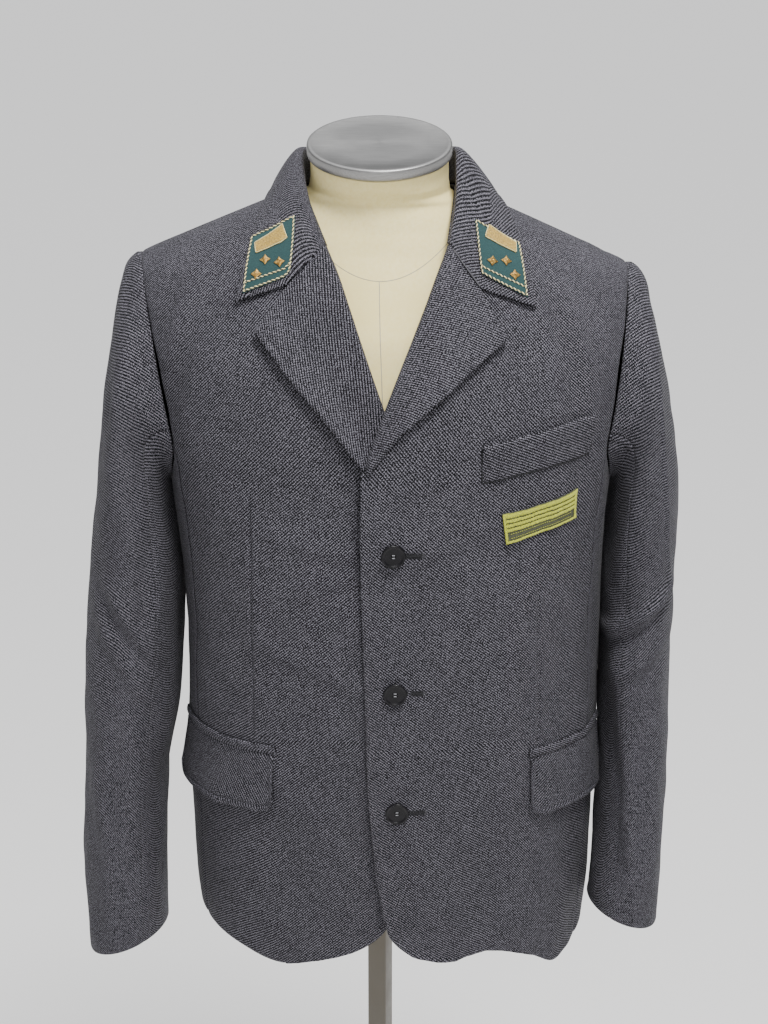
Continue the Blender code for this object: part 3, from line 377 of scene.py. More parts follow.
def covering(name, base, light, thread, depth):
    """Plain weave: two sets of stripes at right angles, broken by noise, on Object coordinates."""
    made, tree, shader = finish_of(name, base, 0.88, Sheen_Weight=0.04, Sheen_Roughness=0.5)
    place = add(tree, "ShaderNodeTexCoord").outputs["Object"]
    stripe = {"Vector": place, "Scale": THREADS_PER_METRE, "Distortion": 1.2, "Detail": 1.0}
    waves = {k: add(tree, "ShaderNodeTexWave", stripe, bands_direction=way).outputs["Fac"]
             for k, way in enumerate("XZ")}
    cross = add(tree, "ShaderNodeMath", waves, operation="MULTIPLY").outputs[0]
    slubbed = mixed(tree, grain(tree, place, 260.0), base, light)
    clouded = mixed(tree, grain(tree, place, 11.0), thread, slubbed)
    surfaced(tree, shader, clouded, cross, depth)
    return made


linen = covering("cream_linen", base=(0.86, 0.72, 0.32), light=(0.92, 0.80, 0.42),
                 thread=(0.84, 0.70, 0.30), depth=0.00012)
rows = np.linspace(0, len(FORM) - 1, FORM_RINGS)
heights = np.interp(rows, np.arange(len(FORM)), [row[0] for row in FORM])
around = np.linspace(0, 2 * math.pi, FORM_SEGMENTS, endpoint=False)
torso = form_ring(heights[:, None], around[None, :])
for _ in range(FORM_SMOOTHED):
    torso[1:-1] = (torso[:-2] + 2 * torso[1:-1] + torso[2:]) / 4
piece("dress_form", *capped(torso), linen, "form_linen", ["form_torso"])


def tube(path, facing, radius, height=1.0, sides=8):
    """Rings of an oval carried along a path: each point is the path's plus its sideways and
    facing directions times the cosine and the sine of the turn."""
    along = unit(np.gradient(path, axis=0))
    facing = unit(facing - (facing * along).sum(-1, keepdims=True) * along)
    side = np.cross(along, facing)
    turn = np.linspace(0, 2 * math.pi, sides, endpoint=False)[None, :, None]
    ring = np.cos(turn) * side[:, None] + height * np.sin(turn) * facing[:, None]
    return path[:, None] + radius * ring


def on_form(x, z):
    """Point of the torso's front at an x and a height, from the ring's own equation."""
    half, front, _, power, tilt = form_sizes(z)
    share = np.clip(np.abs(x - POLE_X) / half, 0, 1)
    y = -front * (1 - share**power) ** (1 / power)
    return np.stack([x, y, z + y * tilt - shoulder_slope(x, z)], -1)


# The seams are drawn as tubes of darker linen: their colour is painted shade, standing in for the
# shade in each seam's groove.
seam_painted_shade = covering("linen_seam_painted_shade", base=(0.42, 0.37, 0.27), light=(0.50, 0.45, 0.34),
                      thread=(0.40, 0.35, 0.26), depth=0.00010)
neck_x = np.linspace(*NECK_SEAM_ENDS, SEAM_POINTS)
centre_z = np.linspace(*CENTRE_SEAM_ENDS, SEAM_POINTS)
for name, path in (
    ("form_neck_seam", on_form(neck_x, NECK_SEAM_LOW + NECK_SEAM_BEND * (neck_x - POLE_X) ** 2)),
    ("form_centre_seam", on_form(-CENTRE_SEAM_SHIFT * ease(centre_z, 1.2, 1.36), centre_z)),
):
    out = unit(path * (1, 1, 0) - (POLE_X, 0, 0))
    piece(name, *capped(tube(path, out, SEAM_RADIUS, SEAM_HEIGHT)), seam_painted_shade, "form_linen")


# The neck cap: a spun aluminium lid with a brushed top and a rolled rim, screwed down on the neck
# and tilted with it.
CAP_SEGMENTS, CAP_CLEAR = 192, 0.0003
CAP_TOP = (
    # radius, height
    (0.0560, 0.0000),
    (0.0618, 0.0000),
    (0.0638, 0.0006),
    (0.0645, 0.0020),
    (0.0645, 0.0088),
    (0.0641, 0.0101),
    (0.0632, 0.0108),
    (0.0618, 0.0110),
    (0.0606, 0.0108),
    (0.0598, 0.0103),
    (0.0400, 0.0103),
    (0.0200, 0.0103),
    (0.0040, 0.0103),
)
lean = math.atan(NECK_TILT)
tilt = np.eye(3)
tilt[1:, 1:] = [[math.cos(lean), math.sin(lean)], [-math.sin(lean), math.cos(lean)]]
neck_top = np.array([POLE_X, (FORM[-1][3] - FORM[-1][2]) / 2, FORM[-1][0]])
neck_top[2] += neck_top[1] * NECK_TILT + CAP_CLEAR

satin, tree, shader = finish_of("satin_aluminium", (0.42, 0.415, 0.41), 0.36, Metallic=1.0,
                                Anisotropic=0.35)
place = add(tree, "ShaderNodeTexCoord").outputs["Object"]
brushed = add(tree, "ShaderNodeMapping", {"Vector": place, "Scale": (0.03, 1.0, 1.0)})
streaks = grain(tree, brushed.outputs["Vector"], 1400.0)
surfaced(tree, shader, mixed(tree, streaks, (0.25, 0.246, 0.24), (0.34, 0.336, 0.33)), streaks,
         0.00002, grain(tree, place, 30.0, 0.30, 0.46))
cap_rings = turned(CAP_TOP, CAP_SEGMENTS)
piece("neck_cap", *capped(cap_rings @ tilt + neck_top), satin, "satin_metal", ["form_neck_cap"])


# The jacket's body: front, side and back panels of a grey marl worsted twill, cut separately,
# seamed and pressed, hanging from the form's shoulders. The right front lies under the left one.
LEFT, RIGHT = 1, -1
CLOTH, SEAM, LAY, STEP = 0.0018, 0.0003, 0.0006, 1e-4
ARMPIT = 1.190
RIDGE_TOP, RIDGE_SLOPE, RIDGE_ROUND, RIDGE_Y = 1.4655, 0.434, 0.030, 0.005
SHOULDER_HALF, SQUARENESS = 0.2375, 0.07
SECTIONS = (
    # height, half width, front, back, y where it is widest
    (0.680, 0.1945, 0.138, 0.124, 0.020),
    (0.780, 0.1985, 0.145, 0.120, 0.012),
    (0.880, 0.1990, 0.149, 0.110, 0.004),
    (0.970, 0.1970, 0.150, 0.102, -0.003),
    (1.070, 0.1955, 0.1485, 0.100, -0.008),
    (1.130, 0.1990, 0.1440, 0.107, -0.011),
    (1.170, 0.2050, 0.1390, 0.118, -0.012),
    (1.190, 0.2070, 0.1380, 0.120, -0.012),
)
CENTRE_LINE = ((0.0, 0.0080), (0.5, 0.0075), (1.0, 0.0060), (2.0, 0.0000))
HEM = {
    # degrees from the centre front, height
    RIGHT: ((0, 0.714), (20, 0.711), (32, 0.708), (44, 0.716), (55, 0.722), (90, 0.726),
            (180, 0.718)),
    LEFT: ((0, 0.719), (16, 0.719), (28, 0.723), (40, 0.708), (49, 0.690), (60, 0.697), (90, 0.712),
           (180, 0.718)),
}
FOLDS = (
    # side, x and height of both ends, half width, depth
    (RIGHT, -0.150, 1.345, -0.192, 1.235, 0.014, 0.0035),
    (LEFT, 0.165, 1.300, 0.172, 1.255, 0.010, 0.0025),
    (RIGHT, -0.160, 1.110, -0.120, 1.020, 0.018, 0.0030),
    (LEFT, 0.060, 1.140, 0.130, 1.115, 0.016, 0.0030),
    (LEFT, 0.110, 0.850, 0.085, 0.730, 0.026, 0.0050),
    (RIGHT, -0.080, 0.860, -0.055, 0.740, 0.024, 0.0035),
)
WRINKLES = (
    # side, x and height of both ends, half width, rise
    (RIGHT, -0.168, 1.375, -0.186, 1.300, 0.0075, 0.0022),
    (RIGHT, -0.158, 1.315, -0.180, 1.235, 0.0080, 0.0024),
    (RIGHT, -0.120, 1.150, -0.015, 1.122, 0.0075, 0.0014),
    (RIGHT, -0.100, 1.085, -0.012, 1.118, 0.0080, 0.0012),
    (RIGHT, -0.105, 1.040, -0.010, 1.000, 0.0090, 0.0014),
    (RIGHT, -0.060, 1.020, -0.010, 1.070, 0.0080, 0.0008),
    (LEFT, 0.150, 1.368, 0.176, 1.290, 0.0075, 0.0020),
    (LEFT, 0.168, 1.330, 0.184, 1.225, 0.0080, 0.0027),
    (LEFT, 0.040, 1.130, 0.110, 1.160, 0.0080, 0.0010),
    (LEFT, 0.030, 0.985, 0.120, 0.960, 0.0100, 0.0010),
    (LEFT, 0.060, 0.885, 0.110, 0.800, 0.0120, 0.0017),
    (RIGHT, -0.100, 0.900, -0.060, 0.790, 0.0120, 0.0015),
)
DARTS = {
    # x at the top and at the bottom, heights of the top and the bottom
    RIGHT: (-0.1180, -0.1200, 1.179, 0.949),
    LEFT: (0.1380, 0.1410, 1.105, 0.946),
}
SWELL = {
    # heights, and how far the side swells there
    RIGHT: ((1.030, 1.070, 1.120, 1.150, 1.160), (0.0, 0.0025, 0.0030, 0.0010, 0.0)),
    LEFT: ((0.820, 0.860, 0.900, 0.960, 1.070, 1.120, 1.150, 1.160),
           (0.0, 0.0010, 0.0020, 0.0036, 0.0040, 0.0030, 0.0010, 0.0)),
}
SIDE_SEAM, BACK_SEAM = math.radians(63), math.radians(117)
SEAM_ANGLE, SEAM_LEVEL = 0.0012, 0.0013
ARMHOLE_LOW, ARMHOLE_SIDE, ARMHOLE_FRONT, ARMHOLE_BACK = 0.947, 1.086, 0.35, 0.65
BREAK = {RIGHT: (0.0335, 1.1600), LEFT: (-0.0180, 1.2120)}
BREAK_TURN = (0.006, 0.001)
LAP_X, LAP_Z = (0.045, 0.100), (1.280, 1.360)
STACK, STACK_X = 0.0070, (0.035, 0.100)
STACK_START, STACK_END = (1.090, 1.150), (1.250, 1.350)
FRONT_EDGE = (
    # height, how far the right and the left edge reach past the centre line
    (0.690, -0.150, -0.150),
    (0.712, -0.085, -0.100),
    (0.719, -0.060, -0.055),
    (0.726, -0.041, -0.024),
    (0.736, -0.024, -0.009),
    (0.748, -0.011, 0.001),
    (0.762, -0.002, 0.006),
    (0.800, 0.010, 0.0125),
    (0.845, 0.0175, 0.0175),
    (0.920, 0.0225, 0.0225),
    (1.000, 0.0240, 0.0240),
    (1.090, 0.0265, 0.0265),
    (1.220, 0.0260, 0.0255),
)
ROLL_LINE = (
    # height, x on the right front, x on the left front
    (1.1600, 0.0335, -0.0330),
    (1.2120, 0.0170, -0.0160),
    (1.2600, 0.0000, 0.0008),
    (1.2850, -0.0088, 0.0105),
    (1.3170, -0.0200, 0.0238),
    (1.3470, -0.0305, 0.0363),
    (1.3700, -0.0390, 0.0455),
    (1.3920, -0.0495, 0.0550),
    (1.4090, -0.0573, 0.0597),
)
NECK_HALF, NAPE, NECK_CURVE, ROLL_SETBACK = 0.068, 0.342, 1.8, 0.0036
GORGE = {RIGHT: (-0.0495, 1.3920), LEFT: (0.0550, 1.3920)}
STITCH_IN, EDGE_ROUND, EDGE_DEPTH = 0.0060, 0.0016, 0.0005
FURROW_DEPTH, FURROW_HALF = 0.00062, 0.0011
BESIDE_FURROW, BESIDE_AT, BESIDE_HALF = 0.00022, 0.0032, 0.0016
SEAM_DIPS = ((0.0009, 0.0016), (0.0004, 0.006))  # depth and half width
DART_DIP, DART_HALF = 0.0019, 0.0012
DART_SWELL, DART_SWELL_AT, DART_SWELL_HALF = 0.0007, 0.004, 0.003
FLARE_OUT, FLARE_WIDE, FLARE_TOP = 0.0034, 0.018, (1.16, 1.20)
DRAPE_SIZE, DRAPE_ENDS = 0.00060, (1.34, 1.40)
FOLD_REACH, WRINKLE_REACH, WRINKLE_TROUGH, TROUGH_AT = 0.6, 0.55, 0.7, 1.5
SWELL_SPREAD, FRONT_ONLY, DRAPE_ROUND = 0.5, (0.1, 0.6), 0.35


def sideways(angle):
    """Share of the half width by the angle from the centre: its sine, squared up a little."""
    return np.sin(angle) * (1 + SQUARENESS * np.sin(2 * angle) ** 2)


def forwards(angle):
    """Share of the depth by the angle from the centre: its cosine, squared up a little."""
    return np.cos(angle) * (1 + SQUARENESS * np.sin(2 * angle) ** 2)


def angle_of(share):
    """Inverse of sideways, from -90 to 90 degrees."""
    angles = np.linspace(-math.pi / 2, math.pi / 2, 721)
    return np.interp(share, sideways(angles), angles)


def ridge(x):
    """Height of the shoulder ridge."""
    return RIDGE_TOP - RIDGE_SLOPE * np.hypot(x, RIDGE_ROUND) - RIDGE_DROP * x


def hem_height(side, angle):
    """Height of the hem by the angle from the centre front."""
    return through(np.degrees(np.abs(angle)), HEM[side])


def roll_x(side, z):
    """X of the lapel's roll line at a height."""
    return through(z, ROLL_LINE, 2 if side == LEFT else 1)


def rise_of(level):
    """How far a level is up the quarter ellipse over the armpit, as an angle."""
    return np.clip(level - 1, 0, None) * math.pi / 2


def beside(x, z, x0, z0, x1, z1):
    """Share along a fold from end to end, and the distance beside it."""
    along = ((x - x0) * (x1 - x0) + (z - z0) * (z1 - z0)) / ((x1 - x0) ** 2 + (z1 - z0) ** 2)
    away = ((x - x0) * (z1 - z0) - (z - z0) * (x1 - x0)) / math.hypot(x1 - x0, z1 - z0)
    return along, away


def trough(side, x, z):
    """Depth of the large soft folds: a bell across each fold that fades past its ends."""
    depth = np.zeros(np.broadcast(x, z).shape)
    for fold_side, x0, z0, x1, z1, half, deep in FOLDS:
        if fold_side == side:
            along, away = beside(x, z, x0, z0, x1, z1)
            bell = np.exp(-((away / half) ** 2) - (np.abs(along - 0.5) / FOLD_REACH) ** 4)
            depth = depth + deep * bell
    return depth


def wrinkled(x, z, table, side):
    """Height of small wrinkles: a ridge with a shallow trough beside it, fading past its ends."""
    height = np.zeros(np.broadcast(x, z).shape)
    for fold_side, x0, z0, x1, z1, half, rise in table:
        if fold_side == side:
            along, away = beside(x, z, x0, z0, x1, z1)
            beyond = np.exp(-((away / half - TROUGH_AT) ** 2))
            shape = np.exp(-((away / half) ** 2)) - WRINKLE_TROUGH * beyond
            height = height + rise * shape * np.exp(-((np.abs(along - 0.5) / WRINKLE_REACH) ** 4))
    return height


def drape(x, z, size):
    """Slow uneven waves of hanging cloth: five sines of different lengths and directions."""
    waves = (
        # waves per metre across and up, start, share
        (9.0, 3.1, 0.4, 0.9),
        (-13.0, 7.7, 2.2, 0.6),
        (21.0, 11.0, 4.0, 0.4),
        (31.0, -17.0, 1.1, 0.28),
        (-43.0, 23.0, 5.2, 0.2),
    )
    total = sum(k * np.sin(2 * math.pi * (a * x + b * z) + c) for a, b, c, k in waves)
    return size * total


def half_width(z_low, rise):
    """Half width of the body at a height up to the armpit and a rise from there."""
    top = SECTIONS[-1][1]
    return through(z_low, SECTIONS) + (SHOULDER_HALF - top) * np.sin(rise)


def body(side, angle, level):
    """Outer face of the jacket's body. Below the armpit a level is a rounded section of its own
    width and depths. Above it the section keeps its x and its y shrinks to the ridge along a
    quarter ellipse."""
    angle, level = np.broadcast_arrays(np.asarray(angle, float), np.asarray(level, float))
    rise = rise_of(level)
    hem = hem_height(side, angle)
    z_low = hem + np.minimum(level, 1) * (ARMPIT - hem)
    x = through(level, CENTRE_LINE) + side * half_width(z_low, rise) * sideways(angle)
    face = forwards(angle)
    widest = through(z_low, SECTIONS, 4)
    front = (through(z_low, SECTIONS, 2) + widest) * np.clip(face, 0, None)
    back = (through(z_low, SECTIONS, 3) - widest) * np.clip(-face, 0, None)
    z = z_low + (ridge(x) - ARMPIT) * np.sin(rise)
    y_low = widest - front + back + trough(side, x, z) * np.clip(face, 0, None)
    y = RIDGE_Y + (y_low - RIDGE_Y) * np.cos(rise)
    return np.stack([x, y, z], -1)


def outwards(place, u, v, step=STEP):
    """Unit normals of a surface place(u, v), from small steps both ways."""
    across = place(u + step, v) - place(u - step, v)
    up = place(u, v + step) - place(u, v - step)
    return unit(np.cross(across, up))


def relief(side, angle, level):
    """Fine height of the cloth over the plain body: drape, wrinkles on the fronts, and at the
    sides the swell of the cloth against the sleeves."""
    x, _, z = np.moveaxis(body(side, angle, level), -1, 0)
    front = ease(np.cos(angle), *FRONT_ONLY)
    shoulder = 1 - ease(z, *DRAPE_ENDS)
    hanging = drape(x + DRAPE_ROUND * np.sin(angle), z, DRAPE_SIZE) * shoulder
    from_side = np.abs(angle) - math.pi / 2
    swell = np.interp(z, *SWELL[side]) * np.exp(-((from_side / SWELL_SPREAD) ** 2))
    return hanging + wrinkled(x, z, WRINKLES, side) * front + swell


def skin(side, angle, level, lift=0.0):
    """Point of the body moved out by lift, with the cloth's own relief."""
    normal = side * outwards(lambda a, b: body(side, a, b), angle, level)
    height = np.asarray(lift) + relief(side, angle, level)
    return body(side, angle, level) + normal * height[..., None]


def angle_at(side, level, x, z):
    """Angle of the front point of a level and height that has this x."""
    half = half_width(np.minimum(z, ARMPIT), rise_of(level))
    return angle_of(side * (x - through(level, CENTRE_LINE)) / half)


def find(side, x, z):
    """Angle and level of the front point at an x and a height, by repeated substitution."""
    x, z = np.broadcast_arrays(np.asarray(x, float), np.asarray(z, float))
    angle = np.zeros(x.shape)
    for _ in range(8):
        hem = hem_height(side, angle)
        rise = np.arcsin(np.clip((z - ARMPIT) / (ridge(x) - ARMPIT), 0, 1))
        level = np.where(z < ARMPIT, (z - hem) / (ARMPIT - hem), 1 + rise / (math.pi / 2))
        angle = angle_at(side, level, x, z)
    return angle, level


def before_ridge(side, place):
    """Levels before the ridge of a point given by x and height."""
    return 2 - find(side, *place)[1]


def overlap_lift(side, x, z):
    """How far the left front stands off where it laps over the right front and the lapels."""
    if side == RIGHT:
        return np.zeros(np.broadcast(x, z).shape)
    lap = (1 - ease(x, *LAP_X)) * (1 - ease(z, *LAP_Z))
    lapels = ease(z, *STACK_START) * (1 - ease(z, *STACK_END)) * (1 - ease(x, *STACK_X))
    return lap * (CLOTH + LAY) + lapels * STACK


def on_front(side, x, z, lift):
    """Point a height lift above the front panel at an x and a height."""
    angle, level = find(side, x, z)
    return skin(side, angle, level, lift + overlap_lift(side, x, z))


def front_edge(side, level, z):
    """X of the front panel's inner edge: front edge, then roll line, then neck seam."""
    past = through(z, FRONT_EDGE, 2 if side == LEFT else 1)
    below = through(level, CENTRE_LINE) - side * past
    rolled = roll_x(side, z) + side * ROLL_SETBACK
    turn = BREAK[side][1]
    low = below + (rolled - below) * ease(z, turn - BREAK_TURN[0], turn - BREAK_TURN[1])
    gorge = before_ridge(side, GORGE[side])
    start = POLE_X + side * NECK_HALF
    neck = start + (GORGE[side][0] - start) * np.clip((2 - level) / gorge, 0, 1) ** NECK_CURVE
    return np.where(2 - level < gorge, neck, low)


DARK_YARN, LIGHT_YARN = (0.0018, 0.0016, 0.0026), (0.172, 0.165, 0.192)
RIB_WAVES, FLOAT_WAVES = (300.0, 360.0), (360.0, -320.0)
YARN_GRAIN, FLECK_GRAIN, CLOUD_GRAIN = (950.0, 1.0), (1700.0, 0.5), (26.0, 3.0)
RIB_SHARE, FLOAT_SHARE, YARN_SHARE, FLECK_SHARE, CLOUD_SHARE = 0.95, 0.40, 4.6, 4.2, 0.30
DARKER, TWILL_DEPTH = -0.16, 0.00010


def twill_group():
    """Twill of light and dark yarns. Slanted ribs come from a sine of the place across them, the
    floats of each rib from a second, finer sine, and the marl of each yarn from noise."""
    wanted = (("Place", "Vector"), ("Dark", "Color"), ("Light", "Color"))
    given = (("Color", "Color"), ("Height", "Float"), ("Roughness", "Float"))
    group, inside = group_of("worsted_twill", wanted, given)
    split = add(group, "ShaderNodeSeparateXYZ", {"Vector": inside["Place"]}).outputs

    def calc(operation, a, b=0.0):
        """One maths node on two values or outputs."""
        return add(group, "ShaderNodeMath", {0: a, 1: b}, operation=operation).outputs[0]

    def total(start, *terms):
        """The start plus each output times its share."""
        for value, share in terms:
            start = calc("ADD", start, calc("MULTIPLY", value, share))
        return start

    def noise(scale, detail):
        """Noise about zero."""
        values = {"Vector": inside["Place"], "Scale": scale, "Detail": detail}
        return calc("SUBTRACT", add(group, "ShaderNodeTexNoise", values).outputs["Fac"], 0.5)

    def sine(across, up):
        """Sine of the place times waves per metre across and up, shifted by the yarn's noise."""
        waves = total(yarn, (split["X"], across), (split["Y"], up))
        return calc("SINE", calc("MULTIPLY", waves, 2 * math.pi))

    yarn, fleck, cloud = noise(*YARN_GRAIN), noise(*FLECK_GRAIN), noise(*CLOUD_GRAIN)
    ribs, floats = sine(*RIB_WAVES), sine(*FLOAT_WAVES)
    tone = total(DARKER, (ribs, RIB_SHARE), (floats, FLOAT_SHARE), (yarn, YARN_SHARE),
                 (fleck, FLECK_SHARE), (cloud, CLOUD_SHARE))
    share = add(group, "ShaderNodeClamp", {"Value": tone}).outputs[0]
    add(group, "NodeGroupOutput", {
        "Color": mixed(group, share, inside["Dark"], inside["Light"]),
        "Height": total(fleck, (ribs, 0.5), (yarn, 1.0)),
        "Roughness": total(0.86, (yarn, 0.25)),
    })
    return group


twill, tree, shader = finish_of("grey_marl_twill", DARK_YARN, 0.86, Sheen_Weight=0.03,
                                Sheen_Roughness=0.4, Specular_IOR_Level=0.16)
woven = add(tree, "ShaderNodeGroup", {
    "Place": add(tree, "ShaderNodeUVMap", uv_map="weave").outputs["UV"],
    "Dark": (*DARK_YARN, 1.0),
    "Light": (*LIGHT_YARN, 1.0),
}, node_tree=twill_group()).outputs
surfaced(tree, shader, woven["Color"], woven["Height"], TWILL_DEPTH, woven["Roughness"])


def lengths(points, axis):
    """Distance along a grid's rows or columns from their first points."""
    steps = np.linalg.norm(np.diff(points, axis=axis), axis=-1)
    start = np.zeros((1, points.shape[1]) if axis == 0 else (points.shape[0], 1))
    return np.concatenate([start, np.cumsum(steps, axis=axis)], axis)


def to_sides(points):
    """Distances along a grid from its first and last columns and its first and last rows."""
    over, up = lengths(points, 1), lengths(points, 0)
    return over, over[:, -1:] - over, up, up[-1:] - up


def on_cloth(outer, turn=0.0, straight=False):
    """Places on the flat cloth, turned by the cut's angle: lengths along the rows from the last
    column, and lengths along each column, or along the middle one where the cut is straight."""
    over, up = lengths(outer, 1), lengths(outer, 0)
    u = over - over[:, -1:]
    v = np.broadcast_to(up[:, up.shape[1] // 2][:, None], up.shape) if straight else up
    return rotated(np.stack([u, v], -1), turn)


def grid_normals(points, facing):
    """Unit normals of a point grid, on the side of the direction facing."""
    normals = unit(np.cross(np.gradient(points, axis=1), np.gradient(points, axis=0)))
    middle = normals[points.shape[0] // 2, points.shape[1] // 2]
    return normals if middle @ np.array(facing) > 0 else -normals


def cloth(name, outer, facing, nodes, finish=twill, slot="uniform_twill", thick=CLOTH,
          turn=0.0, straight=False):
    """Closed thin wall behind a point grid, with a rounded rim: a middle line that stands out
    past the edge by nearly half the thickness."""
    rows, columns = outer.shape[:2]
    inner = (outer - grid_normals(outer, facing) * thick).reshape(-1, 3)
    index = np.arange(rows * columns).reshape(rows, columns)
    ring = np.concatenate([index[0], index[1:, -1], index[-1, -2::-1], index[-2:0:-1, 0]])
    inside = np.concatenate([index[1], index[1:, -2], index[-2, -2::-1], index[-2:0:-1, 1]])
    flat = outer.reshape(-1, 3)
    middle = (flat[ring] + inner[ring]) / 2 + unit(flat[ring] - flat[inside]) * thick * 0.42
    total = rows * columns
    rim = 2 * total + np.arange(len(ring))
    after = np.roll(np.arange(len(ring)), -1)
    faces = [
        between(rows, columns),
        between(rows, columns)[:, ::-1] + total,
        np.stack([ring[after], ring, rim, rim[after]], -1),
        np.stack([rim[after], rim, ring + total, ring[after] + total], -1),
    ]
    places = on_cloth(outer, turn, straight).reshape(-1, 2)
    places = np.concatenate([places, places, places[ring]])
    points = np.concatenate([flat, inner, middle])
    made = piece(name, points, np.concatenate(faces).tolist(), finish, slot, nodes, places)
    return made


def edge_dip(distance, stitched=0.0):
    """Height of cloth near a finished edge: it rounds off in the last millimetres, and a row of
    stitches sinks in as a narrow furrow where stitched is 1."""
    furrow = FURROW_DEPTH * np.exp(-(((distance - STITCH_IN) / FURROW_HALF) ** 2))
    swell = BESIDE_FURROW * np.exp(-(((distance - BESIDE_AT) / BESIDE_HALF) ** 2))
    return (swell - furrow) * stitched - EDGE_DEPTH * (1 - ease(distance, 0.0, EDGE_ROUND))


def seam_dip(distance):
    """Height of cloth near a pressed seam: a narrow and a wide bell turned down into the seam."""
    return -sum(depth * np.exp(-((distance / half) ** 2)) for depth, half in SEAM_DIPS)


def dense(start, end, count, near=0.0125, fine=11):
    """Shares from start to end, closer together near both ends."""
    gap = near * 4
    low = np.linspace(0, gap, fine)
    shares = np.concatenate([low[:-1], np.linspace(gap, 1 - gap, count), (1 - low)[::-1][1:]])
    return start + shares * (end - start)


def front_panel(side, name):
    """Front: rows from the hem to the shoulder seam, columns from the front edge over the dart to
    the side seam, closer together at the edges and along the dart."""
    levels = np.sort(np.concatenate([
        dense(0, 1.0, 88, 0.005, 6),
        np.linspace(1.004, 1.93, 76),
        find(side, BREAK[side][0], BREAK[side][1] - np.array(BREAK_TURN))[1],
        2 - before_ridge(side, GORGE[side]) + np.array((-0.004, 0.010)),
        np.linspace(1.94, 2 - SEAM_LEVEL, 6),
    ]))[:, None]
    start = np.zeros(levels.shape)
    for _ in range(12):
        z = body(side, start, levels)[..., 2]
        start = angle_at(side, levels, front_edge(side, levels, z), z)
    end = SIDE_SEAM - SEAM_ANGLE
    top_x, low_x, top_z, low_z = DARTS[side]
    height = body(side, 0.5, levels)[..., 2]
    dart_x = low_x + (top_x - low_x) * np.clip((height - low_z) / (top_z - low_z), 0, 1)
    dart = angle_at(side, levels, dart_x, height)
    dart = np.maximum(dart, start + 0.3 * (end - start))
    dart = np.minimum(dart, end - 0.12 * (end - start))
    to_dart, from_dart = dense(0, 1, 26, 0.013, 10), dense(0, 1, 14, 0.024, 8)
    before, after = start + to_dart * (dart - start), dart + from_dart[1:] * (end - dart)
    angle = np.concatenate([before, after], 1)
    levels = np.broadcast_to(levels, angle.shape)
    places = body(side, angle, levels)
    across, to_seam, up, to_shoulder = to_sides(places)
    lift = overlap_lift(side, places[..., 0], places[..., 2]) + edge_dip(across, 1.0)
    lift = lift + seam_dip(to_seam) + edge_dip(up) + seam_dip(to_shoulder)
    if side == LEFT:
        lift = lift + FLARE_OUT * (1 - ease(across, 0, FLARE_WIDE)) * (1 - ease(height, *FLARE_TOP))
    from_dart = np.abs(across - across[:, len(to_dart) - 1][:, None])
    sewn = ease(height, low_z - 0.004, low_z) * (1 - ease(height, top_z - 0.02, top_z))
    beside_dart = DART_SWELL * np.exp(-(((from_dart - DART_SWELL_AT) / DART_SWELL_HALF) ** 2))
    lift = lift + sewn * (beside_dart - DART_DIP * np.exp(-((from_dart / DART_HALF) ** 2)))
    outer = skin(side, angle, levels, lift)
    cloth("body_front_" + name, outer, (0, -1, 0.2), ["front_" + name], straight=True)


def armhole_scoop(angle):
    """Level of the armhole's lower edge: half an ellipse between the side panel's seams."""
    across = np.clip((angle - math.pi / 2) / (BACK_SEAM - math.pi / 2 - SEAM_ANGLE), -1, 1)
    return ARMHOLE_SIDE - (ARMHOLE_SIDE - ARMHOLE_LOW) * np.sqrt(1 - across**2)


def seamed(side, angle, level):
    """Body panel with a hem below and seams on its other three sides."""
    first, last, hem, top = to_sides(body(side, angle, level))
    lift = seam_dip(first) + seam_dip(last) + edge_dip(hem) + seam_dip(top)
    return skin(side, angle, level, lift)


def side_panel(side, name):
    """Side panel between the side seam and the back seam, scooped out for the armhole."""
    across = np.sin(np.linspace(-1, 1, 49) * math.pi / 2)[None, :]
    angle = math.pi / 2 + across * (BACK_SEAM - math.pi / 2 - SEAM_ANGLE)
    level = dense(0, 1, 90, 0.005, 6)[:, None] * armhole_scoop(angle)
    outer = seamed(side, np.broadcast_to(angle, level.shape), level)
    cloth("body_side_" + name, outer, (side, 0, 0), ["side_" + name])


def back_panel(side, name):
    """Back panel from the back seam to the centre seam, cut away at the top for the neck."""
    levels = np.sort(np.concatenate([
        dense(0, 1.0, 60, 0.005, 6),
        np.linspace(1.01, 1.93, 60),
        np.linspace(1.94, 2 - SEAM_LEVEL, 6),
        (2 - NAPE - 0.001, 2 - NAPE + 0.001),
    ]))[:, None]
    across = np.clip((2 - levels) / NAPE, 0, 1)
    neck_x = POLE_X + side * NECK_HALF * np.sqrt(1 - across**2)
    cut_back = math.pi - angle_at(side, levels, neck_x, ARMPIT)
    inner = np.where(levels > 2 - NAPE, cut_back, math.pi) - SEAM_ANGLE
    share = dense(0, 1, 44, 0.012, 9)[None, :]
    angle = BACK_SEAM + SEAM_ANGLE + share * (inner - BACK_SEAM - SEAM_ANGLE)
    outer = seamed(side, angle, np.broadcast_to(levels, angle.shape))
    cloth("body_back_" + name, outer, (0, 1, 0.2), ["back_" + name])


SIDES = ((RIGHT, "right"), (LEFT, "left"))
for side, name in SIDES:
    front_panel(side, name)
    side_panel(side, name)
    back_panel(side, name)


